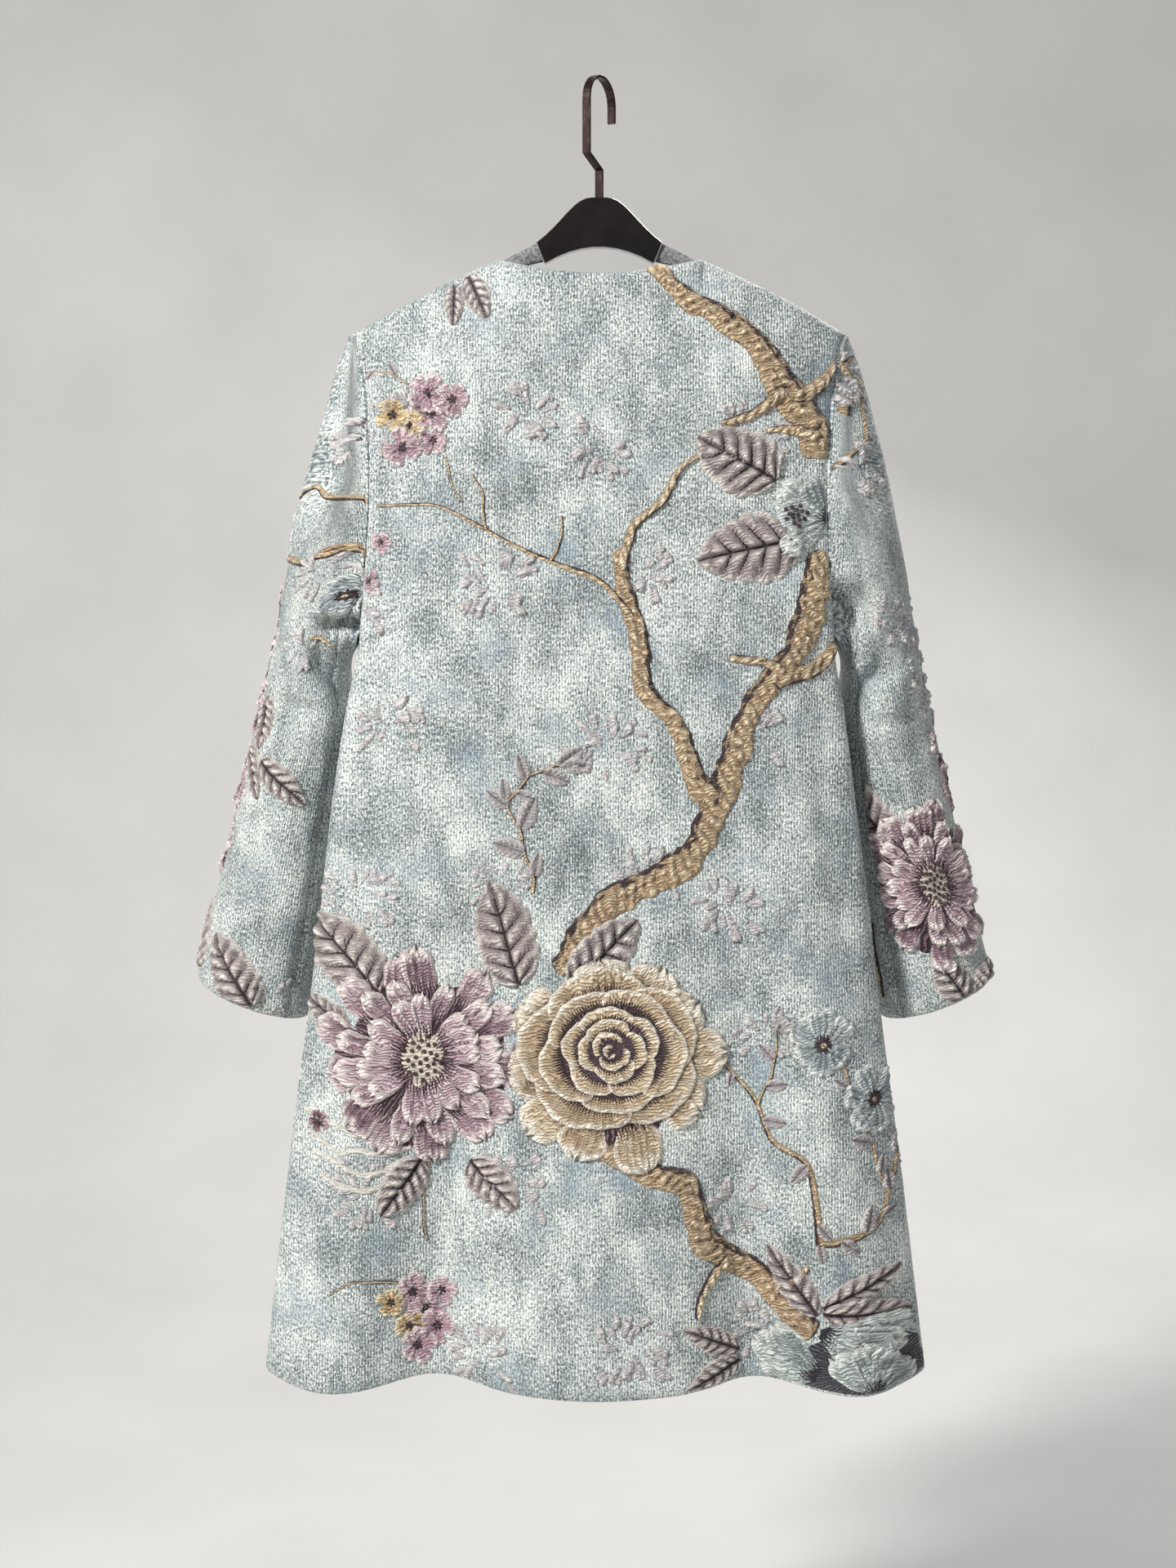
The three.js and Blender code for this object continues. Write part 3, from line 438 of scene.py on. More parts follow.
def petal(panel, cloth, root, tip, width, rise=3.0, bend=0.0, form="petal", shade=0.5, seed=0, grain=1.5):
    """A ridged petal with a curled lip, or a veined and frilled leaf, from its root to its tip."""
    root, tip = np.array(root, float), np.array(tip, float)
    run = tip - root
    length = np.hypot(*run)
    way = run / length
    n, m = max(7, int(length / grain)), max(5, int(width / grain) | 1)
    x = np.linspace(0, 1, n)[:, None]
    t = 0.5 * x + 0.5 * (1 - np.cos(np.pi * x)) / 2
    v = np.linspace(-1, 1, m)[None, :]
    tip_t = t + 0 * v
    if form == "leaf":
        tip_t = t + 0.045 * noise(t * 5, v * 1.5, seed) * np.abs(v)
        body = t ** 0.55 * (1 - t) ** 0.75 / 0.4125
        lobe = np.abs(np.sin(np.pi * (t * VEINS - VEIN_RAKE)))
        body = body * (0.93 + 0.1 * lobe + 0.02 * np.sin(t * 57 + seed) + 0.04 * np.sin(t * 11 + seed * 2))
    else:
        body = (0.22 + 0.78 * t ** 0.75) * np.sqrt(np.clip(1 - t ** 6, 0, 1))
        body = body * (1 + 0.06 * np.sin(t * 13 + seed))
    half = np.maximum(width / 2 * body, 0.25)
    lobes = np.cos(v * np.pi * max(1.4, width / 16) + seed) + 0.4 * np.cos(v * np.pi * width / 6 + seed * 2)
    scallop = 0 if form == "leaf" else min(0.055 * length, 3.2) * lobes * t * t
    sway = bend * length * 0.5 * (1 - np.cos(np.pi * t)) / 2
    spine = root + way * length * t - np.array([-way[1], way[0]]) * sway
    across = spine[:, :1] - way[1] * half * v + way[0] * scallop * (1 - v * v)
    down = spine[:, 1:] + way[0] * half * v + way[1] * scallop * (1 - v * v)
    rim = np.abs(v) + 0 * t
    ends = np.clip(np.minimum(t * length / 3.5, (1 - t) * length / 3.5), 0, 1)
    dome = np.sqrt(np.clip(1 - rim ** 2.6, 0, 1)) * np.sqrt(ends)
    rough = noise(t * length / 7 + seed, v * width / 9, seed) * 0.3
    if form == "leaf":
        vein = tip_t * VEINS - rim * VEIN_RAKE
        pillow = np.abs(np.sin(np.pi * vein)) ** 0.55
        pillow = pillow + (0.8 - pillow) * smooth(t, 0.78, 0.92)
        middle = np.exp(-((v * half / 2.4) ** 2))
        high = rise * dome * (0.1 + 1.4 * pillow * (1 - 0.25 * rim)) * (1 - 0.85 * middle)
        ripple = 2.2 * noise(t * length / 15, v * 2, seed)
        frill = 0.5 * np.sin(t * length * 0.9 + np.sign(v) * 1.3 + ripple) * rim ** 2
        high = high + (1.8 * rough + frill * min(1, width / 30)) * dome
    else:
        ridges = 0.65 * np.cos(v * np.pi * max(2, width / 8) + 2.5 * np.sin(t * 4 + seed)) * dome
        lip = 0.42 * np.exp(-(((t - 0.86) / 0.11) ** 2)) * dome
        side_lip = 0.2 * np.exp(-(((rim - 0.78) / 0.14) ** 2)) * dome
        high = rise * dome * (0.22 + 0.6 * t ** 1.1) + rise * (lip + side_lip) + (ridges + 2.2 * rough) * dome
    lay(panel, cloth, across, down, high, dome, t * length, half * v, tip_t, rim, shade)


def crescent(panel, cloth, centre, inner, outer, start, end, rise, shade=0.5, squash=1.0, grain=1.5):
    """A curved-over petal edge: a band round a centre, with its lip outwards."""
    n = max(8, int(math.radians(end - start) * outer / grain))
    m = max(6, int((outer - inner) / grain * 1.3))
    u, v = np.linspace(0, 1, n)[:, None], np.linspace(0, 1, m)[None, :]
    angle = np.radians(start + (end - start) * u)
    ends = np.sqrt(np.clip(np.sin(np.pi * u), 0, 1))
    wave = 1 + 0.07 * np.sin(angle * 4 + start) + 0.045 * np.sin(angle * 9 + start * 2)
    wave = wave + 0.02 * np.sin(angle * 23)
    out_r = inner + (outer - inner) * (0.25 + 0.75 * ends) * wave
    radius = inner + (out_r - inner) * v
    across = centre[0] + radius * np.cos(angle)
    down = centre[1] + radius * np.sin(angle) * squash
    dome = np.sqrt(np.clip(1 - (2 * v - 1) ** 4, 0, 1)) * np.clip(np.sin(np.pi * u) * 5, 0, 1) ** 0.5
    aside = angle * (inner + outer) / 2
    fold = 0.3 * np.cos(aside * 2 * np.pi / 6.5 + v * 2) * dome
    high = rise * dome * (0.25 + 0.75 * v ** 1.3) + fold
    rim = np.maximum(np.abs(2 * u - 1) ** 3 + 0 * v, np.clip(v * 1.1 - 0.1, 0, 1) ** 2)
    lay(panel, cloth, across, down, high, dome, radius - inner, aside, v, rim, shade)


def limb(panel, cloth, points, widths, rise=3.2, seed=0, grain=1.5, gnarl=1.0):
    """A run of branch along a smooth line through its points."""
    points, widths = np.array(points, float), np.array(widths, float)
    reach = np.concatenate([[0], np.cumsum(np.hypot(*np.diff(points, axis=0).T))])
    n = max(8, int(reach[-1] / grain))
    m = max(5, int(widths.max() / grain * 1.15) | 1)
    at = np.linspace(0, reach[-1], n)
    rows = {"k": reach, "x": points[:, 0], "y": points[:, 1], "w": widths}
    line = np.stack([column(rows, "k", "x", at), column(rows, "k", "y", at)], -1)
    soft = min(5, (n - 1) // 2)
    for _ in range(2):  # rounds the corners off
        padded = np.pad(line, [(soft, soft), (0, 0)], mode="reflect", reflect_type="odd")
        line = np.mean([padded[i:i + n] for i in range(2 * soft + 1)], axis=0)
    way = np.gradient(line, axis=0)
    way /= np.maximum(np.hypot(*way.T), 1e-6)[:, None]
    width = column(rows, "k", "w", at)
    knots = 1 + gnarl * (0.2 * noise(at / 15, 0.3, seed) + 0.1 * noise(at / 6, 0.7, seed + 1))
    line = line + (gnarl * 0.07 * width * noise(at / 9, 0.9, seed + 6))[:, None] * way[:, ::-1] * (-1, 1)
    ends = np.clip(np.minimum(at, reach[-1] - at) / np.maximum(width * 0.3, 1.2), 0, 1)
    half = (width / 2 * knots * np.sqrt(np.clip(ends, 0.02, 1)))[:, None]
    v = np.linspace(-1, 1, m)[None, :]
    across = line[:, :1] - way[:, 1:] * half * v
    down = line[:, 1:] + way[:, :1] * half * v
    rim = np.abs(v) + 0 * half
    dome = np.sqrt(np.clip(1 - rim ** 2.2, 0, 1)) * np.sqrt(ends)[:, None]
    far = at[:, None] + 0 * v
    twist = 2 * np.abs(np.sin(np.pi * (far / 9.5 + v * 0.6 + 0.5 * noise(far / 14, v, seed + 5)))) ** 0.7 - 1
    bark = noise(far / 5, v * half / 4, seed + 2) * 0.5 + noise(far / 9, v * half / 2.5, seed + 3) * 0.45
    high = dome * (rise * 0.78 + gnarl * (1.5 * twist * (1 - rim * 0.4) + bark * 1.9) * min(1, rise / 3))
    lay(panel, cloth, across, down, high, dome, far, half * v, (v + 1) / 2 + 0 * far, rim,
        0.5 + 0.5 * noise(far / 30, 0.1, seed + 4) + 0 * v)


SEED = 2.1  # radius of a woven dot
GOLDEN_TURN = 2.39996  # from one dot of a sunflower's spiral to the next, in radians


def disc(rings, corners):
    """Radius from 0 to 1 and angle of a round patch's points."""
    return np.linspace(0.02, 1, rings)[:, None], np.linspace(0, 2 * np.pi, corners)[None, :]


def seeds(panel, centre, radius, count, squash=1.0):
    """Woven dots at the heart of a flower, in a sunflower's spiral."""
    r, a = disc(5, 9)
    dome = np.sqrt(np.clip(1 - r * r, 0, 1))
    for i in range(count):
        far, round_ = radius * math.sqrt((i + 0.5) / count), i * GOLDEN_TURN
        x, y = centre[0] + far * math.cos(round_), centre[1] + far * math.sin(round_) * squash
        lay(panel, "plum_dot", x + SEED * r * np.cos(a), y + SEED * r * np.sin(a), 1.1 * dome + 0.5, dome,
            r * SEED, a, r, r, 0.5, 0)


def pad(panel, cloth, centre, radius, rise, seed, squash=1.0):
    """A round patch of flat weave under or inside a flower."""
    r, a = disc(max(5, int(radius / 2.8)), max(15, int(radius * 2.0)))
    wave = 1 + 0.06 * np.sin(a * 5 + seed) + 0.04 * np.sin(a * 9 + seed * 2)
    dome = np.sqrt(np.clip(1 - r ** 4, 0, 1))
    x, y = radius * r * wave * np.cos(a), radius * r * wave * np.sin(a) * squash
    lay(panel, cloth, centre[0] + x, centre[1] + y, rise * dome, dome, radius * r, a * radius * 0.6, r, r, 0.5)


PEONY_RINGS = [  # petals, root and tip as shares of the radius, width, rise, darkest and lightest
    (13, 0.46, 1.0, 0.4, 3.9, 0.2, 0.6), (12, 0.27, 0.78, 0.28, 3.7, 0.3, 0.9),
    (13, 0.12, 0.6, 0.24, 3.9, 0.8, 1.0),
]


def peony(panel, centre, radius, seed, cloth="pink_petal"):
    """A full flower: rings of spooned petals over a dark ground, seeds at its heart."""
    pick = np.random.default_rng(seed)
    x, y = centre
    pad(panel, "plum_ground", centre, radius * 0.8, 1.8, seed)
    for k, (count, root, tip, width, rise, dark, light) in enumerate(PEONY_RINGS):
        for i in range(count):
            angle = 2 * math.pi * (i + 0.5 * k + pick.uniform(-0.2, 0.2)) / count
            c, s = math.cos(angle), math.sin(angle)
            far = radius * tip * pick.uniform(0.92, 1.08)
            petal(panel, cloth, (x + c * radius * root, y + s * radius * root), (x + c * far, y + s * far),
                  radius * width * pick.uniform(1.0, 1.35), rise * 1.1, pick.uniform(-0.4, 0.4), "petal",
                  pick.uniform(dark, light), seed * 31 + k * 37 + i)
    pad(panel, "cream_seed", centre, radius * 0.2, 1.2, seed, 1.3)
    seeds(panel, centre, radius * 0.17, 24, 1.3)


ROSE_RINGS = [  # curled edges in the ring, inner and outer edge, degrees each one spans, rise
    (5, 0.54, 0.82, 92, 4.2), (5, 0.44, 0.66, 92, 4.2), (5, 0.3, 0.46, 88, 3.4), (4, 0.18, 0.32, 106, 3.0),
    (2, 0.09, 0.2, 165, 2.6),
]


def rose(panel, centre, radius, seed, cloth="gold_petal"):
    """A cupped rose: broad outer petals, then curled edges winding in to its heart."""
    pick = np.random.default_rng(seed)
    pad(panel, "plum_ground", centre, radius * 0.74, 1.8, seed)
    for i in range(10):
        angle = 2 * math.pi * (0.5 * i + (i > 4) * 0.25 + pick.uniform(-0.07, 0.07)) / 2.5
        c, s = math.cos(angle), math.sin(angle)
        far = radius * (1.0 if i < 5 else 0.92) * pick.uniform(0.95, 1.04)
        petal(panel, cloth, (centre[0] + 0.4 * radius * c, centre[1] + 0.4 * radius * s),
              (centre[0] + far * c, centre[1] + far * s), radius * pick.uniform(0.56, 0.72), 4.2,
              pick.uniform(-0.2, 0.2), "petal", pick.uniform(0.3, 0.8), seed * 29 + i)
    heart = (centre[0], centre[1] - 0.12 * radius)
    for k, (count, inner, outer, span, rise) in enumerate(ROSE_RINGS):
        for i in range(count):
            start = 360 * i / count + 40 * k + pick.uniform(-8, 8)
            crescent(panel, cloth, heart, inner * radius, outer * radius * pick.uniform(0.96, 1.06), start,
                     start + span, rise, 0.4 + 0.03 * (5 * k + i), 0.9)
    crescent(panel, cloth, heart, 0.01 * radius, 0.08 * radius, 20, 300, 1.6, 1.0, 1.0, 0.8)


def dot(panel, cloth, centre, radius, rise=0.9, ragged=0.0):
    """A round spot, its outline as ragged as asked."""
    r, a = disc(5, 19)
    dome = np.sqrt(np.clip(1 - r * r, 0, 1))
    far = radius * r * (1 + ragged * np.sin(a * 7) + ragged * 0.6 * np.sin(a * 4 + centre[0]))
    across, down = centre[0] + far * np.cos(a), centre[1] + far * np.sin(a)
    lay(panel, cloth, across, down, rise * dome, dome, far, a, r, r, 0.5, 0)


def blossom(panel, cloth, centre, radius, seed, petals=5, eye=0.0):
    """An open flower of a few round petals. eye is the size of its dark middle."""
    pick = np.random.default_rng(seed + 900)
    start = pick.uniform(0, 6.28)
    for i in range(petals):
        angle = start + 2 * math.pi * (i + pick.uniform(-0.12, 0.12)) / petals
        far = radius * pick.uniform(0.88, 1.12)
        c, s = math.cos(angle), math.sin(angle)
        petal(panel, cloth, (centre[0] + c * radius * 0.1, centre[1] + s * radius * 0.1),
              (centre[0] + c * far, centre[1] + s * far), radius * pick.uniform(0.95, 1.2), 2.6,
              pick.uniform(-0.2, 0.2), "petal", pick.uniform(0.3, 0.9), seed + i, 1.1)
    if eye:
        dot(panel, "plum_dot", centre, eye, 0.8, 0.22)
        dot(panel, "gold_petal", (centre[0], centre[1] + 0.1 * eye), eye * 0.36, 0.9)
    else:
        dot(panel, "plum_dot", centre, radius * 0.16)


def spray(panel, cloth, centre, half_width, half_height, seed, rise=1.5):
    """A tuft of small leaves woven in the ground's own thread."""
    pick = np.random.default_rng(seed + 500)
    count = int(7 + half_width * half_height / 20)
    lean = pick.uniform(-0.5, 0.5)
    for i in range(count):
        x = centre[0] + half_width * pick.uniform(-1, 1)
        y = centre[1] + half_height * pick.uniform(-1, 1)
        out = math.atan2((y - centre[1]) / half_height, (x - centre[0]) / half_width)
        out = out + lean + pick.uniform(-0.6, 0.6)
        long = pick.uniform(11, 18)
        petal(panel, cloth, (x, y), (x + long * math.cos(out), y + long * math.sin(out)), pick.uniform(7, 11),
              rise * pick.uniform(1.3, 2.2), pick.uniform(-0.3, 0.3), "petal", pick.uniform(0.2, 0.9),
              seed + i, 1.6)


def ray(root, turn, far):
    """The point that lies far from root, turn degrees clockwise from the right."""
    return root[0] + far * math.cos(math.radians(turn)), root[1] + far * math.sin(math.radians(turn))


def course(foot, tip, bow, first, last, seed, kinks=5):
    """A winding run from foot to tip, bowed aside and kinked: rows of across, down and width."""
    pick = np.random.default_rng(seed + 40)
    t = np.linspace(0, 1, kinks + 2)
    foot, run = np.array(foot, float), np.subtract(tip, foot).astype(float)
    length = np.hypot(*run)
    free = np.sin(np.pi * t).clip(0)
    sway = bow * free + 0.06 * length * pick.uniform(-1, 1, len(t)) * np.sqrt(free)
    aside = np.array((-run[1], run[0])) / length
    width = (first + (last - first) * t) * pick.uniform(0.92, 1.08, len(t))
    return np.column_stack([foot + run * t[:, None] + aside * sway[:, None], width])


def point_on(run, share):
    """The place a share of the way along a run."""
    at = share * (len(run) - 1)
    return tuple(np.interp(at, np.arange(len(run)), run[:, k]) for k in (0, 1))


def grow(rows, seed):
    """Runs for a table of limbs, each from a place of its own (-1) or from a share of an earlier limb."""
    runs = []
    for i, (parent, foot, tip, bow, first, last) in enumerate(rows):
        foot = foot if parent < 0 else point_on(runs[parent], foot)
        runs.append(course(foot, tip, bow, first, last, seed + i))
    return runs


def lay_runs(panel, runs, seed):
    """Thick runs as bark, thinner ones as twigs, and stems a little wider than their runs."""
    for i, run in enumerate(runs):
        widest = run[:, 2].max()
        cloth, rise, grain, gnarl = (("gold_bark", 3.6, 1.5, 1.0) if widest > 9
                                     else ("gold_twig", 1.8, 1.1, 0.5 if widest > 3 else 0.2))
        widths = run[:, 2] * (1.0 if widest > 3 else 1.25)
        limb(panel, cloth, run[:, :2], widths, rise, seed + 7 * i, grain, gnarl)


def leafy(panel, run, count, long, seed):
    """Small leaves in turn on either side of a stem, and one at its tip."""
    pick = np.random.default_rng(seed + 60)
    for i in range(count + 1):
        share = min(1.0, (i + 0.7) / count)
        root, ahead = (point_on(run, share * 0.98 + step) for step in (0, 0.02))
        turn = math.degrees(math.atan2(ahead[1] - root[1], ahead[0] - root[0]))
        turn += 0 if i == count else (48 + pick.uniform(-14, 14)) * (-1) ** i
        size = long * pick.uniform(0.75, 1.2)
        petal(panel, "small_leaf", root, ray(root, turn, size), size * 0.62, 3.0, pick.uniform(-0.2, 0.2),
              "leaf", 0.5, seed + i, 1.1)


def cluster(panel, centre, count, reach, seed):
    """Little blossoms crowded in a sunflower's spiral."""
    pick = np.random.default_rng(seed + 80)
    for i in range(count):
        place = ray(centre, i * 137.5 + 20 * pick.uniform(-1, 1), reach * math.sqrt((i + 0.4) / count))
        cloth = "small_gold" if i % 3 == 1 else "small_pink"
        blossom(panel, cloth, place, pick.uniform(12, 18), seed + 11 * i)


def fan(panel, root, start, end, count, long, width, seed):
    """Pale petals spread from one root between two directions in degrees."""
    pick = np.random.default_rng(seed + 30)
    for i in range(count):
        turn = start + (end - start) * (i + 0.5) / count + pick.uniform(-8, 8)
        petal(panel, "teal_petal", root, ray(root, turn, long * pick.uniform(0.75, 1.15)), width, 3.4,
              pick.uniform(-0.2, 0.2), "petal", pick.uniform(0.1, 0.9), seed + i)


BACK_LIMBS = [  # an earlier limb or -1, share along it or foot, tip, bow, width at foot and tip
    (-1, (180, 1055), (0, 890), 15, 27, 18), (-1, (188, 398), (-30, 750), -38, 23, 25),
    (1, 0.55, (18, 398), -16, 22, 13), (2, 0.92, (86, 320), -12, 9, 5), (2, 0.75, (-185, 362), 26, 6, 2.6),
    (4, 0.35, (-30, 370), 5, 3.4, 2.2), (4, 0.6, (-105, 335), 4, 3.2, 2.2),
    (-1, (192, 320), (42, 160), 12, 33, 16),
    (7, 0.3, (100, 295), -4, 12, 6), (7, 0.25, (200, 240), 5, 13, 8), (7, 0.08, (138, 300), 3, 12, 5),
    (1, 0.28, (206, 474), 8, 17, 12), (1, 0.25, (110, 488), 4, 11, 6), (0, 0.4, (86, 1038), 6, 10, 5),
    (0, 0.2, (178, 994), 4, 10, 5), (-1, (92, 806), (188, 980), -16, 3.4, 8),
    (15, 0.98, (256, 905), 22, 8, 3.4),
    (15, 0.35, (152, 790), 6, 3.4, 2.4), (-1, (-52, 684), (-74, 604), 6, 4.4, 3.2),
    (18, 0.95, (-24, 577), -8, 3.2, 2.2),
    (-1, (-127, 322), (-112, 360), 3, 2.2, 2), (-1, (-158, 262), (-195, 250), 4, 2.2, 1.6),
    (-1, (-158, 1010), (-222, 1018), 8, 2.2, 1.6), (16, 0.7, (192, 815), 10, 2.4, 2.2),
    (-1, (-137, 905), (-140, 975), 3, 2.2, 1.8),
]
# Limbs that carry small leaves: which, how many and how long.
LEAFY_LIMBS = [(15, 4, 17), (16, 5, 20), (17, 3, 17), (18, 4, 24), (19, 4, 22), (23, 5, 18), (21, 2, 11)]
BACK_LEAVES = [  # root, direction in degrees, length, width
    ((-180, 768), 232, 88, 56), ((-62, 760), 250, 90, 54), ((-20, 762), 318, 80, 46),
    ((-145, 906), 122, 58, 36),
    ((-104, 906), 48, 56, 38), ((-205, 800), 212, 48, 26), ((148, 342), 212, 76, 58),
    ((168, 388), 163, 88, 60),
    ((186, 1036), 238, 72, 26), ((190, 1030), 332, 76, 24), ((190, 1034), 6, 80, 28),
    ((-110, 170), 62, 42, 24),
    ((-120, 178), 96, 36, 18), ((122, 1066), 200, 52, 24), ((122, 1074), 158, 50, 24),
]


def weave_back(panel):
    for i in range(24):
        x, y = -215 + 430 * (0.7549 * i % 1), 190 + 890 * (0.5698 * i % 1)
        spray(panel, "self_leaf", (x, y), 13 + 13 * (0.618 * i % 1), 10 + 10 * (0.414 * i % 1), 40 * i)
    runs = grow(BACK_LIMBS, 60)
    lay_runs(panel, runs, 60)
    for i in range(4):
        run = course((-152, 886 + 9 * i), (-246 + 5 * i, 866 + 18 * i), -12, 5, 3.6, 300 + i)
        limb(panel, "pale_cord", run[:, :2], run[:, 2] * 1.25, 1.9, 310 + i, 1.0, 0.2)
    for i, (root, turn, long, width) in enumerate(BACK_LEAVES):
        petal(panel, "grey_leaf", root, ray(root, turn, long), width, 4.4 if width > 30 else 3.6,
              0.12 * (-1) ** i, "leaf", 0.5 + 0.3 * math.sin(i * 2.1), i * 3)
    for i, (number, count, long) in enumerate(LEAFY_LIMBS):
        leafy(panel, runs[number], count, long, 5 * i)
    pad(panel, "slate_ground", (225, 1080), 60, 1.6, 0, 0.5)
    fan(panel, (192, 370), 125, 235, 7, 48, 30, 7)
    fan(panel, (188, 1050), -15, 45, 4, 74, 30, 20)
    fan(panel, (186, 1086), 180, 240, 3, 62, 38, 30)
    fan(panel, (235, 1100), 205, 335, 5, 46, 32, 40)
    pad(panel, "blue_petal", (161, 369), 13, 3.0, 3)
    seeds(panel, (163, 370), 10, 14)
    cluster(panel, (-146, 288), 7, 32, 70)
    cluster(panel, (-148, 1035), 7, 30, 170)
    for i, place in enumerate([(-180, 392), (-190, 424), (-232, 876)]):
        blossom(panel, "plum_petal" if i == 2 else "small_pink", place, 10, 230 + i)
    for i, place in enumerate([(190, 810), (235, 858)]):
        blossom(panel, "blue_petal", place, 27, 400 + i, 6, 6.5)
    peony(panel, (-143, 822), 88, 5)
    rose(panel, (14, 824), 92, 8)


def weave_front(panel, sign):
    """The fronts repeat the back's kinds of figure in a quieter layout. sign is 1 on the right."""
    def at(x, y):
        return sign * x, y
    if sign < 0:
        limbs = [[(20, 470, 14), (70, 560, 20), (110, 640, 22), (130, 760, 18)],
                 [(84, 585, 12), (120, 540, 9), (150, 512, 6), (176, 500, 4)],
                 [(140, 920, 16), (160, 980, 20), (205, 1040, 18)],
                 [(60, 300, 3), (90, 262, 3), (130, 250, 2)]]
        leaves = [((132, 810), (205, 745), 42), ((75, 905), (48, 965), 38), ((165, 905), (200, 950), 34),
                  ((40, 490), (20, 425), 34)]
        flower, place, size = rose, (120, 850), 78
        tufts = [(70, 380, 20, 16), (150, 420, 16, 12), (60, 700, 18, 18), (190, 620, 14, 20),
                 (90, 1030, 24, 12)]
        buds = [("small_pink", (88, 262), 13), ("small_gold", (104, 250), 10), ("small_pink", (72, 280), 11)]
    else:
        limbs = [[(215, 1060, 26), (160, 960, 24), (100, 880, 18), (40, 820, 12)],
                 [(150, 945, 12), (185, 905, 8), (215, 885, 5)],
                 [(120, 560, 10), (150, 480, 14), (140, 400, 12), (165, 330, 8)],
                 [(70, 300, 3), (100, 270, 3), (140, 262, 2)]]
        leaves = [((100, 590), (48, 530), 42), ((165, 690), (210, 760), 38), ((95, 700), (50, 735), 34),
                  ((170, 330), (150, 270), 30)]
        flower, place, size = peony, (130, 640), 80
        tufts = [(60, 400, 18, 14), (60, 470, 14, 16), (190, 470, 12, 18), (90, 790, 22, 12),
                 (60, 1000, 20, 18)]
        buds = [("small_pink", (95, 272), 12), ("small_gold", (112, 262), 11), ("small_pink", (60, 830), 12)]
    for i, (x, y, w, h) in enumerate(tufts):
        spray(panel, "self_leaf", at(x, y), w, h, 1000 + 40 * i)
    for i, points in enumerate(limbs):
        points = np.array(points, float)
        points[:, 0] *= sign
        thick = points[:, 2].max() > 9
        limb(panel, "gold_bark" if thick else "gold_twig", points[:, :2], points[:, 2],
             3.6 if thick else 1.6, 700 + i, 1.6, 1.0 if thick else 0.3)
    for i, (root, tip, width) in enumerate(leaves):
        petal(panel, "grey_leaf", at(*root), at(*tip), width, 3.0, 0.1 * math.sin(i), "leaf", 0.5, i * 3, 1.7)
    for i, (cloth, spot, radius) in enumerate(buds):
        blossom(panel, cloth, at(*spot), radius, 800 + 11 * i)
    flower(panel, at(*place), size, 21 + sign)


LEFT_TWIGS = [
    (-1, (12, 352), (104, 362), -8, 5, 6), (-1, (-6, 402), (98, 394), 9, 6, 7),
    (1, 0.75, (126, 404), -4, 6, 5),
    (-1, (84, 472), (124, 480), -3, 3.2, 4),
]
RIGHT_TWIGS = [
    (-1, (24, 226), (46, 286), 6, 4, 6), (-1, (16, 250), (66, 330), 8, 5, 3.4),
    (0, 0.3, (14, 234), 2, 3.4, 2.4),
]


def weave_sleeve(panel, arm):
    lay_runs(panel, grow(LEFT_TWIGS if arm < 0 else RIGHT_TWIGS, 500), 500)
    if arm < 0:
        tufts = [("self_leaf", 84, 420, 18, 6), ("self_leaf", 76, 480, 12, 8), ("pink_petal", 4, 470, 5, 40),
                 ("pink_petal", 6, 560, 12, 44), ("pink_petal", -4, 640, 14, 34),
                 ("self_leaf", 66, 310, 16, 18),
                 ("self_leaf", 104, 784, 16, 8)]
        leaves = [((34, 520), 84, 48, 22), ((48, 575), 38, 68, 26), ((26, 562), 64, 54, 20),
                  ((82, 788), 235, 80, 40),
                  ((18, 758), 252, 66, 30)]
        buds = [("pink_petal", (-60, 640), 40), ("plum_petal", (8, 600), 14), ("pink_petal", (20, 540), 16)]
        peonies = []
        for place in ((110, 436), (4, 384)):
            blossom(panel, "blue_petal", place, 20, 975, 5, 4)
    else:
        tufts = [("self_leaf", 44, 250, 16, 14), ("self_leaf", 50, 330, 12, 14),
                 ("self_leaf", 30, 500, 16, 26),
                 ("self_leaf", -30, 430, 14, 20), ("pink_petal", 14, 560, 8, 22),
                 ("self_leaf", 70, 460, 22, 12)]
        leaves = [((98, 652), 310, 74, 46), ((52, 790), 302, 54, 34), ((44, 790), 238, 52, 30),
                  ((-40, 702), 252, 66, 34)]
        buds = [("plum_petal", (8, 600), 20)]
        peonies = [((66, 682), 72)]
    for i, (cloth, x, y, w, h) in enumerate(tufts):
        spray(panel, cloth, (x, y), w, h, 900 + 20 * i, 1.6)
    for i, (cloth, place, radius) in enumerate(buds):
        blossom(panel, cloth, place, radius, 960 + 9 * i, 6)
    for i, (root, turn, long, width) in enumerate(leaves):
        petal(panel, "grey_leaf", root, ray(root, turn, long), width, 4.2, 0.1, "leaf", 0.5, 3 + i)
    for place, radius in peonies:
        peony(panel, place, radius, 33)


def weave_under(panel, arm):
    """The hind part of a sleeve shows little but the ground and one twig."""
    if arm > 0:
        points = np.array([(134, 716, 4), (138, 738, 7), (134, 760, 7), (132, 784, 5)], float)
        limb(panel, "gold_twig", points[:, :2], points[:, 2], 2.0, 560, 1.1, 0.5)
    spray(panel, "self_leaf", (176, 640), 14, 22, 1300)


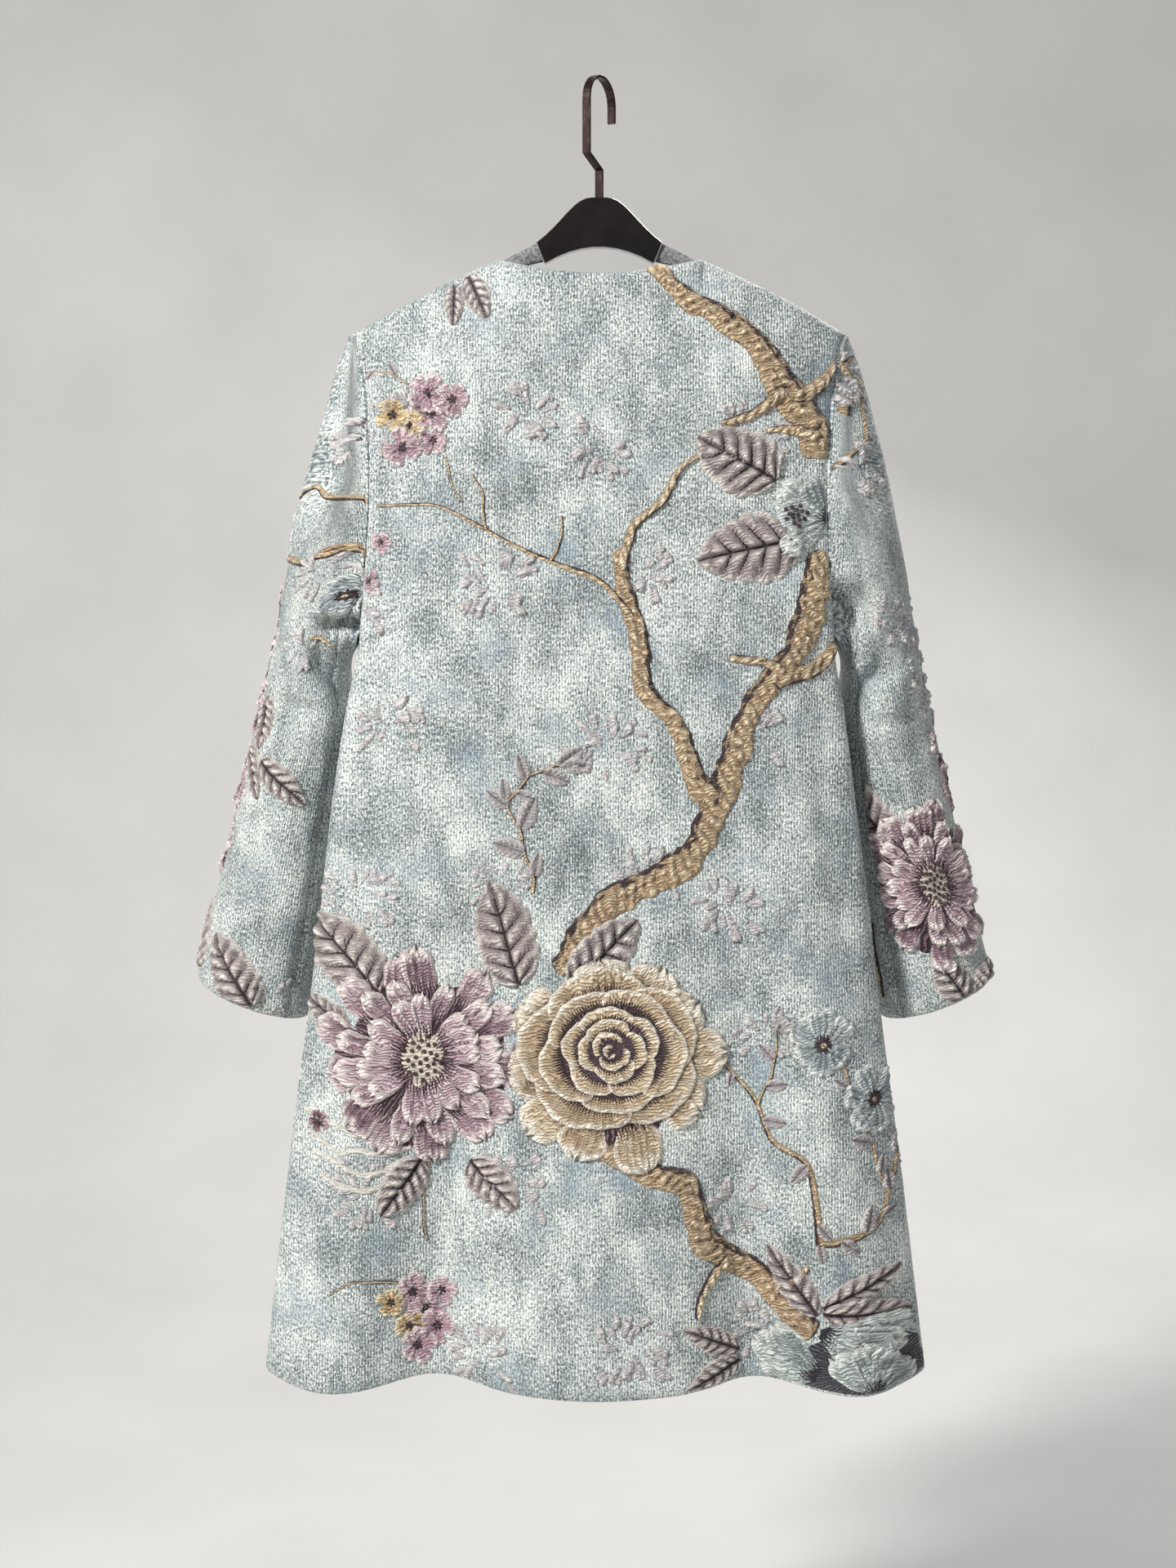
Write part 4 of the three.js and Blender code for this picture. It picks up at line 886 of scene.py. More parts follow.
# ---------------------------------------------------------------- meshes
def make_mesh(name, points, faces, maps, attributes):
    mesh = bpy.data.meshes.new(name)
    mesh.from_pydata(points.tolist(), [], faces)
    corners = np.zeros(len(mesh.loops), np.int32)
    mesh.loops.foreach_get("vertex_index", corners)
    for key, uv in maps.items():
        layer = mesh.uv_layers.new(name=key)
        layer.data.foreach_set("uv", uv[corners].astype(np.float32).ravel())
    for key, values in attributes.items():
        mesh.attributes.new(key, "FLOAT", "POINT").data.foreach_set("value", values.astype(np.float32))
    mesh.shade_smooth()
    made = bpy.data.objects.new(name, mesh)
    bpy.context.scene.collection.objects.link(made)
    return made


def quads(rows, columns, start=0):
    at = start + np.arange(rows * columns).reshape(rows, columns)
    return np.stack([at[:-1, :-1], at[1:, :-1], at[1:, 1:], at[:-1, 1:]], -1).reshape(-1, 4)


def border(at):
    """The loop of corners round a grid of point numbers."""
    return np.concatenate([at[0, :], at[1:, -1], at[-1, -2::-1], at[-2:0:-1, 0]])


def ground(panel, us, vs, every, open_edge):
    """A panel's bare cloth as a closed thin wall: a fine face, a rolled edge and a plainer inside.
    open_edge says, for shares u and v, where the edge hangs free of any seam."""
    u, v = np.meshgrid(us, vs)
    across, down = panel.flat(u, v)
    high = panel.hang(across, down, panel.edge(u, v))
    outer = panel.stand(u, v, high)
    rows, cols = u.shape
    fine = np.arange(rows * cols).reshape(rows, cols)
    loop = border(fine)
    inner_v, inner_u = np.arange(0, rows, every), np.arange(0, cols, every)
    ui, vi = u[np.ix_(inner_v, inner_u)], v[np.ix_(inner_v, inner_u)]
    inner = panel.stand(ui, vi, high[np.ix_(inner_v, inner_u)] - CLOTH)
    base = rows * cols + len(loop)
    coarse = base + np.arange(ui.size).reshape(ui.shape)
    inner_loop = border(coarse)

    flat_outer = outer.reshape(-1, 3)
    lu, lv = u.ravel()[loop], v.ravel()[loop]
    inside = panel.stand(lu, lv, high.ravel()[loop] - CLOTH)
    step = fine.copy()
    step[0, :], step[-1, :] = fine[1, :], fine[-2, :]
    step[1:-1, 0], step[1:-1, -1] = fine[1:-1, 1], fine[1:-1, -2]
    way = flat_outer[loop] - flat_outer[step.ravel()[loop]]
    way /= np.maximum(np.linalg.norm(way, axis=1, keepdims=True), 1e-9)
    rolled = (flat_outer[loop] + inside) / 2 + way * (0.9 * MM) * open_edge(lu, lv)[:, None]

    faces = quads(rows, cols)
    back = quads(*ui.shape, start=base)[:, ::-1]
    mid = rows * cols + np.arange(len(loop))
    nxt, mid_nxt = np.roll(loop, -1), np.roll(mid, -1)
    rim = np.stack([loop, nxt, mid_nxt, mid], -1)
    steps = np.arange(len(loop))
    near = ((steps + every // 2) // every) % len(inner_loop)
    near_nxt = np.roll(near, -1)
    polygons = [f.tolist() for f in (faces, back, rim)]
    edge = []
    sides = (mid, mid_nxt, inner_loop[near], inner_loop[near_nxt])
    for a, b, p, q in zip(*(side.tolist() for side in sides)):
        edge.append([a, b, p] if p == q else [a, b, q, p])
    faces = sum(polygons, []) + edge
    points = np.concatenate([flat_outer, rolled, inner.reshape(-1, 3)])
    if panel.outward < 0:
        faces = [f[::-1] for f in faces]
    flat_uv = np.stack(panel.grain(u, v), -1).reshape(-1, 2) * MM
    inner_uv = flat_uv.reshape(rows, cols, 2)[np.ix_(inner_v, inner_u)].reshape(-1, 2)
    uv = np.concatenate([flat_uv, flat_uv[loop], inner_uv])
    wrong = np.concatenate([np.zeros(rows * cols), np.full(len(loop), 0.4), np.ones(ui.size)])
    return make_mesh(panel.name + "_cloth", points, faces, {"cloth": uv}, {"wrong_side": wrong})


def figures(panel):
    """The panel's raised figures, one mesh to each colour of thread."""
    made = []
    (u0, u1), (v0, v1) = panel.u_range, panel.v_range
    for cloth, patches in panel.laid.items():
        flat = [np.concatenate([p[k].ravel() for p in patches]) for k in range(8)]
        across, down, high, along, aside, tip, rim, shade = flat
        raw_u, raw_v = panel.share(across, down)
        u, v = np.clip(raw_u, u0, u1), np.clip(raw_v, v0, v1)
        out = (raw_u < u0) | (raw_u > u1) | (raw_v < v0) | (raw_v > v1)
        edge = panel.edge(u, v)
        clear = smooth(edge, 0.2, 3.5)  # figures sink at a seam
        ease = np.where(out, -0.3, 1) * clear
        total = panel.hang(across, down, edge) + np.where(ease < 0, -0.6, high * ease - 0.5 * (1 - clear))
        points = panel.stand(u, v, total)
        faces, start = [], 0
        for p in patches:
            rows, cols = p[0].shape
            faces.append(quads(rows, cols, start))
            start += rows * cols
        faces = np.concatenate(faces)
        faces = faces[~out[faces].all(axis=1)]
        a, b, c = points[faces[:, 0]], points[faces[:, 1]], points[faces[:, 3]]
        size = np.linalg.norm(np.cross(b - a, c - a), axis=1)
        faces = faces[size > 1e-12]
        # Faces that were drawn the other way round are turned to face out.
        first = np.cross(points[faces[:, 1]] - points[faces[:, 0]], points[faces[:, 3]] - points[faces[:, 0]])
        plain = panel.stand(u, v, total + 1) - points
        turned = (first * plain[faces[:, 0]]).sum(1) < 0
        faces[turned] = faces[turned][:, ::-1]
        used, renumbered = np.unique(faces, return_inverse=True)
        faces = renumbered.reshape(-1, 4)
        # ridge, the height above the relief round about, drives the finishes' painted highlight and painted
        # shade.
        ridge = high - panel.read(panel.around, across, down)
        keep = {"tip": tip, "rim": rim, "shade": shade, "swell": high, "ridge": ridge}
        keep = {kind: value[used] for kind, value in keep.items()}
        maps = {"lay": (along, aside), "cloth": (across, down)}
        maps = {kind: np.stack(pair, -1)[used] * MM for kind, pair in maps.items()}
        piece = make_mesh(panel.name + "_" + cloth, points[used], faces.tolist(), maps, keep)
        piece.data.materials.append(CLOTHS[cloth])
        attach(piece, "root")
        made.append(piece)
    return made


# ---------------------------------------------------------------- materials
def rgb(r, g, b):
    """An 0 to 255 screen colour as the shader's linear one."""
    def one(c):
        c /= 255
        return c / 12.92 if c <= 0.04045 else ((c + 0.055) / 1.055) ** 2.4
    return one(r), one(g), one(b), 1.0


class Finish:
    """A material, with short words for the nodes it is wired from."""

    def __init__(self, name, roughness, **sockets):
        self.material = bpy.data.materials.new(name)
        self.material.use_nodes = True
        self.nodes, self.links = self.material.node_tree.nodes, self.material.node_tree.links
        self.shader = next(n for n in self.nodes if n.type == "BSDF_PRINCIPLED")
        self.shader.inputs["Roughness"].default_value = roughness
        for key, value in sockets.items():
            self.shader.inputs[key.replace("_", " ")].default_value = value

    def put(self, value, socket):
        if isinstance(value, bpy.types.NodeSocket):
            self.links.new(value, socket)
        elif value is not None:
            socket.default_value = value

    def place(self, uv=None):
        if uv is None:
            return self.nodes.new("ShaderNodeTexCoord").outputs["Object"]
        node = self.nodes.new("ShaderNodeUVMap")
        node.uv_map = uv
        return node.outputs["UV"]

    def value(self, name):
        node = self.nodes.new("ShaderNodeAttribute")
        node.attribute_name = name
        return node.outputs["Fac"]

    def stretch(self, vector, scale):
        node = self.nodes.new("ShaderNodeMapping")
        self.put(vector, node.inputs["Vector"])
        node.inputs["Scale"].default_value = scale
        return node.outputs["Vector"]

    def grain(self, vector, scale, detail=2.0, rough=0.5):
        node = self.nodes.new("ShaderNodeTexNoise")
        self.put(vector, node.inputs["Vector"])
        node.inputs["Scale"].default_value = scale
        node.inputs["Detail"].default_value = detail
        node.inputs["Roughness"].default_value = rough
        return node.outputs["Fac"]

    def sum(self, op, a, b=None, c=None, clamp=False):
        node = self.nodes.new("ShaderNodeMath")
        node.operation, node.use_clamp = op, clamp
        for value, socket in zip((a, b, c), node.inputs):
            self.put(value, socket)
        return node.outputs[0]

    def axis(self, vector, which):
        node = self.nodes.new("ShaderNodeSeparateXYZ")
        self.put(vector, node.inputs[0])
        return node.outputs[which]

    def mix(self, fac, a, b):
        node = self.nodes.new("ShaderNodeMix")
        node.data_type = "RGBA"
        self.put(fac, node.inputs["Factor"])
        for value, socket in zip((a, b), [s for s in node.inputs if s.type == "RGBA"]):
            self.put(value, socket)
        return next(s for s in node.outputs if s.type == "RGBA")

    def ramp(self, fac, stops):
        node = self.nodes.new("ShaderNodeValToRGB")
        self.put(fac, node.inputs["Fac"])
        marks = node.color_ramp.elements
        while len(marks) < len(stops):
            marks.new(0.5)
        for mark, (at, color) in zip(marks, stops):
            mark.position, mark.color = at, color
        return node.outputs["Color"]

    def done(self, color, height=None, distance=0.0006, strength=0.6):
        self.put(color, self.shader.inputs["Base Color"])
        if height is not None:
            node = self.nodes.new("ShaderNodeBump")
            node.inputs["Distance"].default_value = distance
            node.inputs["Strength"].default_value = strength
            self.put(height, node.inputs["Height"])
            self.put(node.outputs["Normal"], self.shader.inputs["Normal"])
        return self.material


RIB_GAP = 0.0024  # between the ground's upright ribs
ROW_GAP = 0.0031  # between the wavy rows of thread on a figure
LEAF_GAP, FIGURE_GAP, HATCH_GAP = 0.0030, 0.0024, 0.0034  # between the threads along a figure


def ground_finish():
    """Silvery blue-grey ground: cloudy, flecked, with fine upright ribs."""
    f = Finish("figured_ground", 0.62, Sheen_Weight=0.25, Sheen_Roughness=0.4)
    uv = f.place("cloth")
    cloud = f.grain(uv, 13, 4, 0.55)
    patch = f.grain(f.stretch(uv, (1, 0.45, 1)), 60, 3, 0.6)
    fleck = f.grain(f.stretch(uv, (640, 380, 1)), 1, 2, 0.8)
    cross = f.grain(f.stretch(uv, (240, 820, 1)), 1, 1, 0.5)
    wander = f.grain(uv, 90, 1)
    wander = f.sum("MULTIPLY", wander, 7.0)
    rib = f.sum("SINE", f.sum("MULTIPLY_ADD", f.axis(uv, 0), 2 * math.pi / RIB_GAP, wander))
    tone = f.sum("MULTIPLY_ADD", cloud, 0.55, f.sum("MULTIPLY", patch, 0.4))
    tone = f.sum("MULTIPLY_ADD", fleck, 1.55, tone)
    tone = f.sum("ADD", tone, f.sum("MULTIPLY_ADD", rib, 0.05, f.sum("MULTIPLY", cross, 0.3)))
    tone = f.sum("SUBTRACT", tone, 0.93)
    color = f.ramp(tone, [
        (0.2, rgb(70, 79, 83)), (0.38, rgb(120, 131, 134)), (0.5, rgb(172, 181, 180)),
        (0.62, rgb(214, 218, 213)), (0.8, rgb(250, 250, 243)),
    ])
    blue = f.sum("MULTIPLY", f.sum("SUBTRACT", f.grain(uv, 17, 3, 0.6), 0.52, clamp=True), 2.6, clamp=True)
    color = f.mix(blue, color, rgb(132, 152, 166))
    cream = f.sum("GREATER_THAN", f.grain(f.stretch(uv, (420, 210, 1)), 1.3, 1), 0.63)
    color = f.mix(f.sum("MULTIPLY", cream, 0.3), color, rgb(214, 206, 186))
    color = f.mix(f.sum("MULTIPLY", f.value("wrong_side"), 0.5), color, rgb(120, 128, 128))
    height = f.sum("MULTIPLY_ADD", fleck, 0.9, f.sum("MULTIPLY_ADD", rib, 0.22, cross))
    return f.done(color, height, 0.0011, 0.75)


def threads(f, lay, gap):
    """Place across a figure, its long threads gap apart, specks, sheen, and rows round its swellings."""
    aside = f.axis(lay, 1)
    drift = f.grain(lay, 160, 2)
    wave = f.sum("SINE", f.sum("MULTIPLY_ADD", aside, 2 * math.pi / gap, f.sum("MULTIPLY", drift, 9.0)))
    cloth = f.place("cloth")
    speck = f.grain(f.stretch(cloth, (620, 520, 1)), 1, 2, 0.75)
    swell = f.sum("MULTIPLY_ADD", f.value("swell"), 2.2, f.sum("MULTIPLY", f.grain(cloth, 60, 2), 32.0))
    row = f.sum("SINE", f.sum("MULTIPLY_ADD", f.axis(cloth, 1), 2 * math.pi / ROW_GAP, swell))
    satin = f.sum("MULTIPLY_ADD", row, 0.3, f.grain(f.stretch(cloth, (240, 700, 1)), 1, 2, 0.6))
    return aside, wave, speck, satin, row


def creased(f, color, row, speck, dark, share):
    """Dark gaps between the rows of thread."""
    gap = f.sum("SUBTRACT", f.sum("MULTIPLY_ADD", speck, 0.9, row), 0.88, clamp=True)
    return f.mix(f.sum("MULTIPLY", gap, share, clamp=True), color, dark)


def painted_relief_shading(f, color, speck, pale, dark):
    """Painted light on the relief: a painted highlight of paler thread over its ridges and painted shade of
    dark thread down in its folds.
    """
    ridge = f.value("ridge")
    # low is the painted shade in the folds, top the painted highlight on the ridges.
    low = f.sum("MULTIPLY_ADD", ridge, -0.42, f.sum("MULTIPLY_ADD", speck, 0.9, -0.62), clamp=True)
    top = f.sum("MULTIPLY_ADD", ridge, 0.6, f.sum("MULTIPLY_ADD", speck, 0.9, -0.6), clamp=True)
    return f.mix(f.sum("MULTIPLY", low, 0.9), f.mix(f.sum("MULTIPLY", top, 0.85), color, pale), dark)


def outline_with_painted_light(f, color, out, speck, pale, dark):
    """A pale lip just inside a figure's outline, partly pale thread and partly a painted highlight, and a dark
    line along it that is painted shade in the sunken valley.
    """
    # The lip is pale thread, and partly a painted highlight on the raised lip.
    lip = f.sum("MULTIPLY", f.sum("MULTIPLY_ADD", speck, 0.3, f.sum("SUBTRACT", out, 0.9)), 4.5, clamp=True)
    patchy = f.sum("MULTIPLY_ADD", f.grain(f.place("cloth"), 55, 2), 3.2, -1.0, clamp=True)
    color = f.mix(f.sum("MULTIPLY", lip, f.sum("MULTIPLY_ADD", patchy, 0.6, 0.3)), color, pale)
    # Painted shade: a dark line in the sunken valley along the outline.
    painted_valley_shade = f.sum("MULTIPLY_ADD", speck, 0.12, f.sum("SUBTRACT", out, 1.03))
    painted_valley_shade = f.sum("MULTIPLY", painted_valley_shade, 26.0, clamp=True)
    return f.mix(f.sum("MULTIPLY", painted_valley_shade, 0.8), color, dark)


def petal_finish(name, deep, body, pale, edge, dark, reach, gap=0.0026, dark_share=1.0):
    """A flower's petal: dark threads at its root, thinning outwards, and a pale lip, with painted highlight
    patches and painted highlight and shade on its relief and outline.
    """
    f = Finish(name, 0.5, Sheen_Weight=0.2, Sheen_Roughness=0.35)
    tip, rim, shade = f.value("tip"), f.value("rim"), f.value("shade")
    _, wave, speck, satin, row = threads(f, f.place("lay"), gap)
    tone = f.sum("MULTIPLY_ADD", satin, 1.1, f.sum("MULTIPLY_ADD", shade, 0.8, -0.5), clamp=True)
    color = f.mix(tone, deep, body)
    lift = f.sum("MULTIPLY_ADD", shade, 0.7, f.sum("MULTIPLY_ADD", speck, 1.0, -0.5))
    color = f.mix(f.sum("MULTIPLY", f.sum("POWER", tip, 0.9), lift, clamp=True), color, pale)
    # Painted highlight: broad pale patches at random over the petals.
    painted_highlight_patches = f.sum("MULTIPLY_ADD", f.grain(f.place("cloth"), 42, 2), 4.0, -1.9, clamp=True)
    color = f.mix(f.sum("MULTIPLY", painted_highlight_patches, 0.7), color, pale)
    color = creased(f, color, row, speck, f.mix(0.45, deep, dark), 1.6)
    # Painted highlight on the ridges in the edge colour and painted shade in the folds in the dark colour.
    color = painted_relief_shading(f, color, speck, edge, dark)
    # Pale lip with a painted highlight, and painted shade along the outline.
    color = outline_with_painted_light(f, color, f.sum("MAXIMUM", rim, tip), speck, edge, dark)
    root = f.sum("MULTIPLY_ADD", wave, 0.3, f.sum("MULTIPLY_ADD", speck, 1.1, 0.3))
    root = f.sum("SUBTRACT", root, f.sum("DIVIDE", tip, reach))
    root = f.sum("SUBTRACT", root, f.sum("MULTIPLY", shade, 0.1))
    color = f.mix(f.sum("MULTIPLY", root, 5.0 * dark_share, clamp=True), color, dark)
    height = f.sum("MULTIPLY_ADD", row, 0.5, f.sum("MULTIPLY_ADD", wave, 0.2, f.sum("ADD", satin, speck)))
    return f.done(color, height, 0.0012, 0.8)


def leaf_finish():
    """A leaf: soft rows of thread, with dark side veins and a dark stalk that run out towards the tip."""
    f = Finish("grey_leaf", 0.55, Sheen_Weight=0.2, Sheen_Roughness=0.35)
    tip, rim, shade = f.value("tip"), f.value("rim"), f.value("shade")
    aside, wave, speck, satin, row = threads(f, f.place("lay"), LEAF_GAP)
    color = f.mix(f.sum("MULTIPLY_ADD", satin, 1.3, -0.15, clamp=True), LEAF_DEEP, LEAF_BODY)
    color = creased(f, color, row, speck, rgb(84, 74, 78), 1.5)
    # Painted highlight on the ridges in LEAF_EDGE and painted shade in the folds.
    color = painted_relief_shading(f, color, speck, LEAF_EDGE, rgb(58, 48, 52))
    # Pale lip with a painted highlight, and painted shade along the outline.
    color = outline_with_painted_light(f, color, rim, speck, LEAF_EDGE, rgb(62, 54, 58))
    color = f.mix(f.sum("MULTIPLY", shade, 0.25), color, LEAF_WARM)
    vein = f.sum("MULTIPLY_ADD", rim, -VEIN_RAKE, f.sum("MULTIPLY", tip, float(VEINS)))
    vein = f.sum("ABSOLUTE", f.sum("SUBTRACT", vein, f.sum("ROUND", vein)))
    fade = f.sum("MULTIPLY", f.sum("SUBTRACT", tip, 0.72, clamp=True), 1.2)
    reach = f.sum("SUBTRACT", f.sum("MULTIPLY_ADD", rim, -0.13, 0.1), fade)
    near = f.sum("SUBTRACT", f.sum("MULTIPLY_ADD", speck, 0.2, f.sum("SUBTRACT", reach, 0.09)), vein)
    dark = f.sum("MULTIPLY", near, 30.0, clamp=True)
    stalk = f.sum("SUBTRACT", f.sum("MULTIPLY_ADD", tip, -0.0012, 0.0014), f.sum("ABSOLUTE", aside))
    stalk = f.sum("MULTIPLY_ADD", speck, 0.0014, f.sum("SUBTRACT", stalk, 0.0004))
    stalk = f.sum("MULTIPLY", stalk, 2500.0, clamp=True)
    color = f.mix(f.sum("MAXIMUM", dark, stalk), color, rgb(50, 37, 40))
    height = f.sum("MULTIPLY_ADD", row, 0.5, f.sum("ADD", satin, f.sum("MULTIPLY_ADD", wave, 0.15, speck)))
    return f.done(color, height, 0.0012, 0.8)


def bark_finish(name, dark_edge):
    """Golden bark with broken dark threads down one side."""
    f = Finish(name, 0.55, Sheen_Weight=0.2, Sheen_Roughness=0.35)
    side, rim, shade = f.value("tip"), f.value("rim"), f.value("shade")
    lay_uv = f.place("lay")
    _, _, speck, satin, row = threads(f, lay_uv, LEAF_GAP)
    tone = f.sum("MULTIPLY_ADD", satin, 1.5, f.sum("MULTIPLY_ADD", shade, 0.3, -0.35), clamp=True)
    color = f.mix(tone, BARK_DEEP, BARK_BODY)
    light = f.sum("MULTIPLY", f.sum("MULTIPLY_ADD", speck, 1.8, -0.7, clamp=True), 0.9)
    color = f.mix(light, color, BARK_PALE)
    color = creased(f, color, row, speck, rgb(104, 76, 56), 1.6)
    # Painted highlight on the ridges in BARK_PALE and painted shade in the folds in BARK_DARK.
    color = painted_relief_shading(f, color, speck, BARK_PALE, BARK_DARK)
    broken = f.grain(f.stretch(lay_uv, (90, 260, 1)), 1, 1)
    edge = f.sum("MULTIPLY_ADD", speck, 0.3, f.sum("MULTIPLY_ADD", broken, 0.9, side))
    color = f.mix(f.sum("MULTIPLY", f.sum("SUBTRACT", edge, dark_edge), 8.0, clamp=True), color, BARK_DARK)
    other = f.sum("MULTIPLY_ADD", broken, 0.5, f.sum("MULTIPLY_ADD", speck, 0.3, rim))
    other = f.sum("SUBTRACT", other, 1.36)
    color = f.mix(f.sum("MULTIPLY", other, 8.0, clamp=True), color, BARK_DARK)
    fleck = f.sum("SUBTRACT", f.sum("MULTIPLY_ADD", broken, 0.6, speck), 0.98)
    color = f.mix(f.sum("MULTIPLY", fleck, 6.0, clamp=True), color, rgb(96, 68, 56))
    height = f.sum("MULTIPLY_ADD", row, 0.5, f.sum("ADD", satin, speck))
    return f.done(color, height, 0.0013, 0.85)


def plain_figure(name, low, high, root_color=None, rim_color=None):
    """Small figures woven in two near shades, some with a dark root or a pale outline."""
    f = Finish(name, 0.58, Sheen_Weight=0.2, Sheen_Roughness=0.35)
    aside, _, speck, satin, row = threads(f, f.place("lay"), FIGURE_GAP)
    tone = f.sum("MULTIPLY_ADD", speck, 1.6, f.sum("MULTIPLY_ADD", row, 0.2, -0.35), clamp=True)
    color = f.mix(tone, low, high)
    if rim_color:
        color = f.mix(f.sum("MULTIPLY", f.sum("POWER", f.value("rim"), 3.0), 0.85), color, rim_color)
        vein = f.sum("MULTIPLY", f.sum("SUBTRACT", 0.0007, f.sum("ABSOLUTE", aside)), 3000.0, clamp=True)
        vein = f.sum("MULTIPLY", vein, f.sum("MULTIPLY_ADD", speck, 1.2, 0.2), clamp=True)
        color = f.mix(vein, color, root_color)
    elif root_color:
        outwards = f.sum("MULTIPLY", f.value("tip"), 2.4)
        root = f.sum("SUBTRACT", f.sum("MULTIPLY_ADD", speck, 0.9, -0.1), outwards)
        color = f.mix(f.sum("MULTIPLY", root, 4.0, clamp=True), color, root_color)
    # Painted highlight on the ridges in the lighter shade and painted shade in the folds in the darker one.
    color = painted_relief_shading(f, color, speck, high, low)
    return f.done(color, f.sum("MULTIPLY_ADD", row, 0.4, f.sum("ADD", satin, speck)), 0.0010, 0.7)


def hatched_finish(name, dark, light):
    """Dark weave that paler threads run across, as between the petals."""
    f = Finish(name, 0.6, Sheen_Weight=0.2, Sheen_Roughness=0.35)
    _, wave, speck, _, _ = threads(f, f.place("lay"), HATCH_GAP)
    pale = f.sum("MULTIPLY_ADD", wave, 0.5, f.sum("MULTIPLY_ADD", speck, 1.6, -0.72), clamp=True)
    color = f.mix(f.sum("MULTIPLY", pale, 0.9), dark, light)
    return f.done(color, f.sum("ADD", wave, speck), 0.0012, 0.8)


# LEAF_EDGE and BARK_PALE are also the colours of painted highlight on the ridges, LEAF_EDGE of the lip's
# painted highlight too, and BARK_DARK of painted shade in the folds.
LEAF_DEEP, LEAF_BODY = rgb(108, 98, 100), rgb(184, 174, 171)
LEAF_EDGE, LEAF_WARM = rgb(240, 235, 226), rgb(192, 172, 172)
BARK_DEEP, BARK_BODY = rgb(138, 108, 76), rgb(212, 184, 142)
BARK_PALE, BARK_DARK = rgb(252, 236, 204), rgb(50, 34, 36)
PLUM = rgb(58, 38, 46)
CLOTHS = {
    "small_leaf": plain_figure("small_leaf", rgb(126, 120, 124), rgb(182, 176, 176), rgb(66, 54, 60),
                               rgb(222, 218, 214)),
    "small_pink": petal_finish("small_pink", rgb(142, 106, 122), rgb(200, 164, 176), rgb(230, 208, 212),
                               rgb(240, 228, 224), PLUM, 0.2),
    "small_gold": petal_finish("small_gold", rgb(158, 128, 86), rgb(206, 176, 124), rgb(238, 218, 176),
                               rgb(246, 236, 206), PLUM, 0.2),
    "plum_ground": hatched_finish("plum_ground", rgb(36, 24, 30), rgb(150, 112, 126)),
    "slate_ground": hatched_finish("slate_ground", rgb(30, 28, 36), rgb(122, 126, 136)),
    "gold_bark": bark_finish("gold_bark", 1.36),
    "gold_twig": bark_finish("gold_twig", 1.2),
    "grey_leaf": leaf_finish(),
    "pink_petal": petal_finish("pink_petal", rgb(104, 70, 88), rgb(180, 140, 155), rgb(236, 218, 220),
                               rgb(250, 242, 236), PLUM, 0.5),
    "plum_petal": petal_finish("plum_petal", rgb(92, 62, 74), rgb(142, 104, 118), rgb(188, 152, 160),
                               rgb(220, 196, 198), PLUM, 0.6),
    "gold_petal": petal_finish("gold_petal", rgb(142, 114, 82), rgb(206, 180, 142), rgb(244, 230, 204),
                               rgb(253, 249, 236), rgb(56, 38, 40), 0.46),
    "teal_petal": petal_finish("teal_petal", rgb(124, 136, 138), rgb(182, 194, 192), rgb(218, 226, 220),
                               rgb(240, 243, 236), rgb(40, 36, 44), 0.24),
    "blue_petal": petal_finish("blue_petal", rgb(134, 146, 152), rgb(182, 194, 196), rgb(212, 220, 218),
                               rgb(240, 243, 238), rgb(40, 32, 38), 0.2),
    "self_leaf": plain_figure("self_leaf", rgb(116, 116, 122), rgb(224, 219, 216), rgb(80, 78, 86)),
    "pale_cord": plain_figure("pale_cord", rgb(160, 158, 152), rgb(232, 228, 218)),
    "cream_seed": plain_figure("cream_seed", rgb(176, 164, 150), rgb(236, 228, 212)),
    "plum_dot": plain_figure("plum_dot", rgb(36, 25, 29), rgb(78, 56, 58)),
}
GROUND = ground_finish()


def gloss_finish():
    f = Finish("moulded_gloss", 0.12, Coat_Weight=0.6, Coat_Roughness=0.08)
    place = f.place()
    haze = f.grain(place, 60, 3)
    color = f.ramp(haze, [(0.3, rgb(17, 13, 14)), (0.7, rgb(30, 22, 23))])
    return f.done(color, f.grain(place, 14, 2), 0.0012, 0.08)


def grip_finish():
    f = Finish("grip_plastic", 0.72)
    place = f.place()
    color = f.ramp(f.grain(place, 420, 2), [(0.35, rgb(88, 89, 92)), (0.65, rgb(146, 147, 149))])
    return f.done(color, f.grain(place, 900, 2), 0.0005, 0.6)


def steel_finish():
    f = Finish("blacked_steel", 0.32, Metallic=0.7)
    place = f.place()
    wear = f.grain(f.stretch(place, (1, 1, 0.3)), 220, 3)
    color = f.ramp(wear, [(0.35, rgb(44, 34, 32)), (0.6, rgb(62, 48, 44)), (0.75, rgb(104, 88, 80))])
    return f.done(color, wear, 0.0002, 0.4)


def floor_finish():
    f = Finish("studio_floor", 0.8)
    return f.done(f.ramp(f.grain(f.place(), 3, 3), [(0.3, rgb(206, 205, 203)), (0.7, rgb(214, 213, 211))]))


# ---------------------------------------------------------------- build
def spaced(*spans):
    """Runs of steps, each from, to, how many and how they crowd: to the end if above 0, else to the start."""
    out = []
    for low, high, count, ease in spans:
        x = np.linspace(0, 1, count + 1)
        end = np.sin(x * np.pi / 2) if ease > 0 else 1 - np.cos(x * np.pi / 2)
        x = x * (1 - abs(ease)) + end * abs(ease)
        out.append(low + (high - low) * (x[1:] if out else x))
    return np.concatenate(out)


